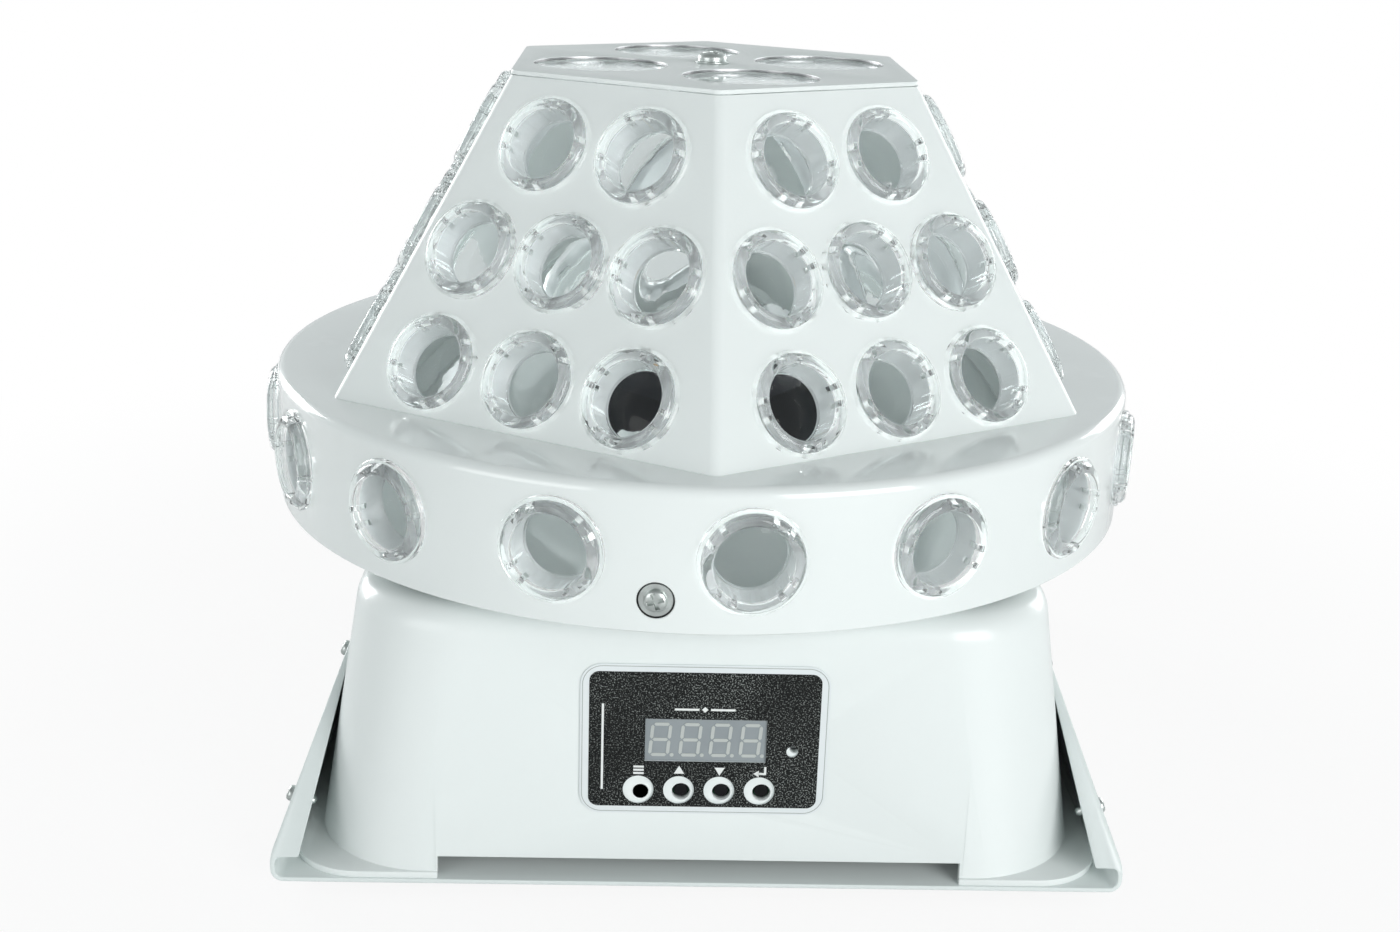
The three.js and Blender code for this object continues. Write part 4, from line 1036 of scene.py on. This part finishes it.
def makeSegment(length):
    # one six-cornered bar of a digit, lying across
    bar, half = displaySizes["bar"], length / 2
    outline = [(-half, 0), (-half + bar, -bar), (half - bar, -bar), (half, 0), (half - bar, bar),
               (-half + bar, bar)]
    return flatShape(outline, (0, 0), displaySizes["front"], displaySizes["lift"])


def makeDigits():
    size = displaySizes
    across, tall, slant = size["halfWidth"], size["halfHeight"], math.radians(size["slant"])
    lean = math.tan(slant)
    level = makeSegment(across * 2 - size["bar"] * 1.2)
    steep = makeSegment(tall - size["bar"] * 0.9)
    upright = Matrix.Rotation(math.pi / 2 + slant, 4, "Y")
    depths = (size["front"] - size["lift"], size["front"] + size["lift"])
    pieces = []
    for digit in range(size["digits"]):
        x = housingSizes["displayX"] + size["first"] + size["pitch"] * digit
        for up in (-tall, 0, tall):
            pieces.append(copyOf(level, Matrix.Translation((x + up * lean, 0, panelHeight + up))))
        for side in (-1, 1):
            for up in (-tall / 2, tall / 2):
                there = Matrix.Translation((x + side * across + up * lean, 0, panelHeight + up))
                pieces.append(copyOf(steep, there @ upright))
        dot = (x + size["dotX"] - tall * lean, panelHeight - tall)
        pieces.append(wallRod(size["dot"], dot, depths, 20))
    bpy.data.objects.remove(level)
    bpy.data.objects.remove(steep)
    return joinPieces(pieces)


finishPiece(makeDigits(), "display_segments", segmentResin, "base", smoothAngle=0)

buttonSizes = {"radius": 0.00175, "round": 0.0004, "segments": 36, "tip": 0.0002}


def roundPin(radius, length, bend, segments):
    # a pin on height 0, its top edge rounded
    tip = arc(radius - bend, length - bend, bend, 0, 90, 4)
    return faceOut(turnUp([(radius, 0), *tip, (buttonSizes["tip"], length)], segments))


def makeButton():
    # turned up along Z, then laid so that the round tip looks out of the panel
    low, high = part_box("button_1")
    stem = roundPin(buttonSizes["radius"], high.y - low.y, buttonSizes["round"], buttonSizes["segments"])
    stem.data.transform(Matrix.Translation((0, high.y, 0)) @ Matrix.Rotation(math.radians(90), 4, "X"))
    return stem


buttonSeats = [Matrix.Translation((x, 0, buttonHeight)) for x in buttonXs]
finishCopies(makeButton(), "button_stem", buttonSeats, buttonResin, "button_{}_body",
             "button_{}")
print("panel made")


# The pan keeps its exact sheet form, with its folds and edges rounded
panSizes = {
    "halfWidth": 0.1085, "sheet": 0.0012, "fold": 0.0032, "bend": 0.01, "bendRound": 0.002, "edge": 0.00022,
    "near": 0.0001,
}


def makePan():
    size = panSizes
    pan = cadNodes["base_pan"].copy()
    pan.data = cadNodes["base_pan"].data.copy()
    bpy.context.scene.collection.objects.link(pan)
    pan.parent = None
    for key in list(pan.keys()):
        del pan[key]
    pan.data.materials.clear()
    with editing(pan):
        bpy.ops.mesh.remove_doubles(threshold=0.00001)
        bpy.ops.mesh.dissolve_limited(angle_limit=math.radians(1))
    outer, inner, near = size["halfWidth"], size["halfWidth"] - size["sheet"], size["near"]
    folds = ((outer, panTop - size["sheet"], size["fold"], 6), (inner, panTop, size["fold"] - size["sheet"], 6),
             (outer, size["bend"], size["bendRound"], 4), (inner, size["bend"], size["bendRound"], 4))
    for x, z, radius, segments in folds:
        roundEdges(pan, radius, segments, lambda centre, run: abs(run.y) > 0.99 and (
            abs(abs(centre.x) - x) < near and abs(centre.z - z) < near))
    return soften(pan, size["edge"], 2, 45, clamp=False)


# the pan gets the darker copy of the white enamel, which paints its shade
finishPiece(makePan(), "folded_pan", shadedPanPaint, "base", ["base_pan"], smoothAngle=35)

sideScrewSizes = {
    "lower": (0.082, 0.017), "upper": (0.05, 0.044), "bend": 0.01, "top": 0.0492, "low": 0.1085,
    "high": 0.09426, "spin": 35,
}


def sideScrewPlaces():
    size = sideScrewSizes
    lean = math.atan((size["low"] - size["high"]) / (size["top"] - size["bend"]))
    for side in (-1, 1):
        for end in (-1, 1):
            for depth, height in (size["lower"], size["upper"]):
                x = size["low"] - (height - size["bend"]) * math.tan(lean)
                out = Vector((side * math.cos(lean), 0, math.sin(lean)))
                turn = out.to_track_quat("Z", "Y").to_matrix().to_4x4()
                yield Matrix.Translation((side * x, end * depth, height)) @ turn


sideScrew = makeScrew(headRadius=0.0021, headHeight=0.0016, shank=0.0056, shankRadius=0.0012)
finishCopies(sideScrew, "side_screw", spun(sideScrewPlaces(), sideScrewSizes["spin"]), platedSteel, "base")
print("pan and side screws made")


# The ring of LEDs inside: a white board, square emitters and flared clear optics
ledSizes = {
    "radius": 0.037, "bore": 0.0083, "thickness": 0.0016, "edge": 0.0003, "circle": 0.024, "foot": 0.005,
    "mouth": 0.0093, "lip": 0.0004, "flare": 1.3, "count": 6, "emitter": 0.0022, "emitterHeight": 0.0009,
    "emitterCorner": 0.0004, "well": 1.3,
}
boardLow, opticTop = (corner.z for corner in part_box("led_board"))
boardTop = boardLow + ledSizes["thickness"]


def makeLedBoard():
    size = ledSizes
    radius, edge = size["radius"], size["edge"]
    board = faceOut(turnUp([(radius, boardLow), (radius, boardTop - edge), (radius - edge, boardTop)], 72))
    return carve(board, [rod(size["bore"], upTo(boardLow - past), upTo(boardTop + past), 48)])


def makeOptic():
    # a flared cup of clear plastic with a well over the emitter
    size = ledSizes
    mouth, foot, lip, height = size["mouth"], size["foot"], size["lip"], opticTop - boardTop
    flare = [(foot + (mouth - foot) * share ** size["flare"], height * share)
             for share in (0, 0.2, 0.4, 0.6, 0.8, 0.93)]
    profile = [*flare, (mouth, height - 0.75 * lip), (mouth - lip, height),
               (mouth - 2 * lip, height - 1.5 * lip)]
    optic = faceOut(turnUp(profile, 48))
    well = rod(size["emitter"] * size["well"], upTo(-past / 2), upTo(size["emitterHeight"] * 2.5), 32)
    return carve(optic, [well])


def makeEmitter():
    half, rise = ledSizes["emitter"] / 1.2, ledSizes["emitterHeight"]
    emitter = roundBlock((-half, -half, 0), (half, half, rise), ledSizes["emitterCorner"], "Z", 4)
    return soften(emitter, ledSizes["edge"] / 2, 2, 50)


def ledPlaces():
    turns = [2 * math.pi * number / ledSizes["count"] for number in range(1, ledSizes["count"] + 1)]
    circle = ledSizes["circle"]
    return [Matrix.Translation((circle * math.sin(turn), -circle * math.cos(turn), boardTop))
            @ Matrix.Rotation(turn, 4, "Z") for turn in turns]


finishPiece(makeLedBoard(), "led_round_board", whiteMask, "base", ["led_board"])
finishCopies(makeOptic(), "led_optic", ledPlaces(), clearPlastic, "base", "led_board")
finishCopies(makeEmitter(), "led_emitter", ledPlaces(), phosphor, "base", "led_board")
print("LED ring made")


# Back fittings: the mains inlet, the fuse holder and the two data sockets
backFace = housingSizes["halfDepth"]
overlap = 0.0002  # how far a body reaches into its flange, so that the two become one
layBack = Matrix.Rotation(math.radians(-90), 4, "X")  # turns +Z to look out of the back wall
inletSizes = {
    "halfWidth": 0.024, "halfHeight": 0.0115, "corner": 0.004, "flange": 0.002, "bodyHalfWidth": 0.0135,
    "bodyHalfHeight": 0.01, "bodyCorner": 0.001, "body": 0.02, "wellHalfWidth": 0.0118,
    "wellHalfHeight": 0.008, "wellCorner": 0.003, "well": 0.018, "pinX": 0.007, "pinUp": 0.0022,
    "pinHalfWidth": 0.001, "pinHalfHeight": 0.002, "pin": 0.012, "screwX": 0.0188, "edge": 0.0004,
}
socketSizes = {
    "halfWidth": 0.013, "halfHeight": 0.0155, "corner": 0.003, "flange": 0.002, "bodyRadius": 0.0117,
    "body": 0.018, "wellRadius": 0.0095, "well": 0.0165, "pinRadius": 0.0012, "pinCircle": 0.0042,
    "pin": 0.011, "pinRound": 0.0006, "holeRadius": 0.0016, "hole": 0.012, "ringWidth": 0.0009,
    "ring": 0.006, "keyHalfWidth": 0.0014, "keyDepth": 0.0011, "screwX": 0.0098, "screwUp": 0.0122,
    "edge": 0.00035, "segments": 56, "pinSegments": 24,
}
fuseSizes = {
    "capRadius": 0.007, "cap": 0.006, "capRound": 0.0008, "bodyRadius": 0.0058, "body": 0.02,
    "slotHalfWidth": 0.0008, "slot": 0.0015, "grips": 20, "grip": 0.0005, "gripFoot": 0.0012,
}


def makeInlet():
    size = inletSizes
    middle, face = (backSizes["inletX"], inletHeight), backFace + size["flange"]
    body = wallBlock(middle, (size["halfWidth"], size["halfHeight"]), (backFace, face), size["corner"])
    shell = wallBlock(middle, (size["bodyHalfWidth"], size["bodyHalfHeight"]),
                      (backFace - size["body"], backFace + overlap), size["bodyCorner"], 3)
    carve(body, [shell], "UNION")
    well = wallBlock(middle, (size["wellHalfWidth"], size["wellHalfHeight"]),
                     (face - size["well"], face + past))
    roundEdges(well, size["wellCorner"], 1, lambda centre, run: abs(run.y) > 0.9 and centre.z > middle[1])
    carve(body, [well])
    return soften(body, size["edge"], 3, 40)


def makeInletPins():
    size = inletSizes
    floor, aside, rise = backFace + size["flange"] - size["well"], size["pinX"], size["pinUp"]
    pins = [wallBlock((backSizes["inletX"] + across, inletHeight + up),
                      (size["pinHalfWidth"], size["pinHalfHeight"]), (floor, floor + size["pin"]))
            for across, up in ((-aside, -rise), (0, rise), (aside, -rise))]
    return soften(joinPieces(pins), size["edge"], 3, 40)


def socketPins(x):
    # the three contacts lie at the sides and at the bottom
    reach = socketSizes["pinCircle"]
    return [(x + reach * math.sin(turn), socketHeight + reach * math.cos(turn))
            for turn in (math.pi / 2, math.pi, 3 * math.pi / 2)]


def makeSocket(x, withPins):
    size = socketSizes
    middle, face, well = (x, socketHeight), backFace + size["flange"], size["wellRadius"]
    body = wallBlock(middle, (size["halfWidth"], size["halfHeight"]), (backFace, face), size["corner"])
    segments = size["segments"]
    stem = wallRod(size["bodyRadius"], middle, (backFace - size["body"], backFace + overlap), segments)
    carve(body, [stem], "UNION")
    if withPins:
        carve(body, [wallRod(well, middle, (face - size["well"], face + past), segments)])
        key = roundBlock((x - size["keyHalfWidth"], face - size["ring"], socketHeight),
                         (x + size["keyHalfWidth"], face + past, socketHeight + well + size["keyDepth"]))
        carve(body, [key])
    else:
        groove = wallRod(well, middle, (face - size["ring"], face + past), segments)
        core = wallRod(well - size["ringWidth"], middle, (face - 2 * size["ring"], face + 2 * past), 48)
        carve(body, [carve(groove, [core])])
        carve(body, [wallRod(size["holeRadius"], pin, (face - size["hole"], face + past), size["pinSegments"])
                     for pin in socketPins(x)])
    return soften(body, size["edge"], 3, 40)


def makeSocketPins(x):
    size = socketSizes
    floor = backFace + size["flange"] - size["well"]
    pin = roundPin(size["pinRadius"], size["pin"], size["pinRound"], size["pinSegments"])
    return joinPieces(spread(pin, [Matrix.Translation((pinX, floor, pinHeight)) @ layBack
                                   for pinX, pinHeight in socketPins(x)]))


def makeFuseHolder():
    # a round cap with grips round its rim and a coin slot
    size = fuseSizes
    radius, cap = size["capRadius"], size["cap"]
    rim = arc(radius - size["capRound"], cap - size["capRound"], size["capRound"], 0, 90, 5)
    profile = [(size["bodyRadius"], -size["body"]), (size["bodyRadius"], 0), (radius, 0), *rim]
    holder = faceOut(turnUp(profile, 56))
    grips = []
    for number in range(size["grips"]):
        turn = 2 * math.pi * number / size["grips"]
        side = Vector((math.cos(turn), math.sin(turn), 0)) * (radius + size["grip"] * 0.3)
        grips.append(rod(size["grip"], side + upTo(size["gripFoot"]), side + upTo(cap + past / 2), 12))
    carve(holder, grips)
    reach, half = radius + past / 2, size["slotHalfWidth"]
    carve(holder, [roundBlock((-reach, -half, cap - size["slot"]), (reach, half, cap + past / 2))])
    holder.data.transform(Matrix.Translation((backSizes["fuseX"], backFace, fuseHeight)) @ layBack)
    return holder


finishPiece(makeInlet(), "inlet_body", blackPlastic, "base", ["power_inlet"])
finishPiece(makeInletPins(), "inlet_pins", platedSteel, "base", ["power_inlet"])
finishPiece(makeFuseHolder(), "fuse_cap", blackPlastic, "base", ["fuse_holder"])
inX, outX = backSizes["socketXs"]
finishPiece(makeSocket(inX, True), "data_in_socket", blackPlastic, "base", ["data_in"])
finishPiece(makeSocketPins(inX), "data_in_pins", platedSteel, "base", ["data_in"])
finishPiece(makeSocket(outX, False), "data_out_socket", blackPlastic, "base", ["data_out"])

fittingScrews = [(backSizes["inletX"] + side * inletSizes["screwX"], inletHeight) for side in (-1, 1)]
fittingScrews += [(x + side * socketSizes["screwX"], socketHeight - side * socketSizes["screwUp"])
                  for x in (inX, outX) for side in (-1, 1)]
fittingScrew = makeScrew(headRadius=0.0021, headHeight=0.0012, shank=0.0065, shankRadius=0.0012)
fittingPlaces = spun([Matrix.Translation((x, backFace + inletSizes["flange"], z)) @ layBack
                      for x, z in fittingScrews], backSizes["screwSpin"])
finishCopies(fittingScrew, "back_screw", fittingPlaces, platedSteel, "base")
print("back fittings made")


# Finishes of the CAD nodes that stay
def dress(material, *names):
    for name in names:
        slots = cadNodes[name].data.materials
        if not slots:
            slots.append(material)
        for place in range(len(slots)):
            slots[place] = material


dress(whitePaint, "drum_tray")
dress(displayFace, "display_module")
dress(circuitBoard, "control_board", "driver_board")
dress(machinedAluminium, "microphone", "led_column", "shaft_coupling")
dress(blackAnodised, "heat_sink")
dress(platedSteel, "motor", "motor_bracket", "centre_shaft", "motor_shaft")
dress(bronze, "shaft_bush")
dress(footRubber, *(f"foot_{number}" for number in range(1, 5)))
print("CAD nodes dressed")


# Stage
stageSizes = {
    "floor": 12, "horizon": 0.63, "zenith": 0.31, "throughGlass": 0.75, "backdrop": 0.2, "whiteFrom": 0.16,
    "whiteAt": 0.45, "white": 0.88, "cool": (0.94, 0.99, 1, 1), "aim": (0, 0, 0.1), "zenithAt": 0.9,
    "backdropFrom": 0.1, "backdropAt": 0.7, "floorShade": 0.86, "floorTint": 0.88, "dust": 6,
    "floorRoughness": 0.7, "dustRoughness": 0.1,
}
lamps = {
    "key": {"place": (0.8, -1.15, 0.4), "size": 0.8, "watts": 10.8},
    "fill": {"place": (-1.0, -1.0, 0.28), "size": 0.9, "watts": 4.2},
    "rear left": {"place": (-1.0, 0.85, 0.35), "size": 0.6, "watts": 8.2},
    "rear right": {"place": (1.0, 0.85, 0.35), "size": 0.6, "watts": 4.2},
}


def addLamp(name, look):
    aim = Vector(stageSizes["aim"]) - Vector(look["place"])
    bpy.ops.object.light_add(
        type="AREA", location=look["place"], rotation=aim.to_track_quat("-Z", "Y").to_euler())
    lamp = bpy.context.object
    lamp.name = name
    lamp.data.size = look["size"]
    lamp.data.energy = look["watts"]


def lightWorld():
    # a cool white studio, dimmer overhead, that the camera sees as plain white
    world = bpy.data.worlds.new("studio")
    bpy.context.scene.world = world
    world.use_nodes = True
    nodes = NodeTree(world.node_tree)
    background = world.node_tree.nodes["Background"].inputs
    direction = nodes.node("ShaderNodeTexCoord", output="Generated")
    height, depth = (nodes.node("ShaderNodeSeparateXYZ", {}, {0: direction}, output=axis) for axis in "ZY")
    dome = nodes.node("ShaderNodeMapRange", {}, {
        "Value": height, "From Min": 0.0, "From Max": stageSizes["zenithAt"],
        "To Min": stageSizes["horizon"], "To Max": stageSizes["zenith"]})
    backdrop = nodes.node("ShaderNodeMapRange", {}, {
        "Value": depth, "From Min": stageSizes["backdropFrom"], "From Max": stageSizes["backdropAt"],
        "To Max": stageSizes["backdrop"]})
    seen, through = (nodes.node("ShaderNodeLightPath", output=f"Is {ray} Ray")
                     for ray in ("Camera", "Transmission"))
    level = (dome + backdrop) * (1 + stageSizes["throughGlass"] * through)
    nodes.connect(background["Strength"], level.atLeast(seen))
    nodes.connect(background["Color"], nodes.blend(seen, stageSizes["cool"], grey(1)))


def addFloor():
    size = stageSizes
    bpy.ops.mesh.primitive_plane_add(size=size["floor"])
    floor = bpy.context.object
    floor.name = "studio_floor"
    finish = Finish("studio floor", specularLevel=0.1)
    dust = finish.noise(size["dust"], 3)
    finish.feed("baseColor", finish.blend(dust, grey(size["floorShade"]), grey(size["floorTint"])))
    finish.feed("roughness", size["floorRoughness"] + size["dustRoughness"] * dust)
    # the camera sees the floor fade to the white of the background, but for the shadow by the object
    distance = finish.node("ShaderNodeVectorMath", {"operation": "LENGTH"}, {0: finish.place}, output=1)
    cameraRay = finish.node("ShaderNodeLightPath", output="Is Camera Ray")
    white, away = size["white"], finish.band(distance, size["whiteFrom"], size["whiteAt"])
    glow = finish.node("ShaderNodeEmission", {}, {"Color": grey(1), "Strength": 1.0})
    finish.mixSurface((white + (1 - white) * away) * cameraRay, glow)
    floor.data.materials.append(finish.material)
    floor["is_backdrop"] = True


for name, look in lamps.items():
    addLamp(name, look)
lightWorld()
addFloor()
bpy.context.scene.view_settings.view_transform = "Standard"
print("stage set")

sizes = {"cad": cadBox, "visual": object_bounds()}
{name: [list(corner) for corner in box] for name, box in sizes.items()}
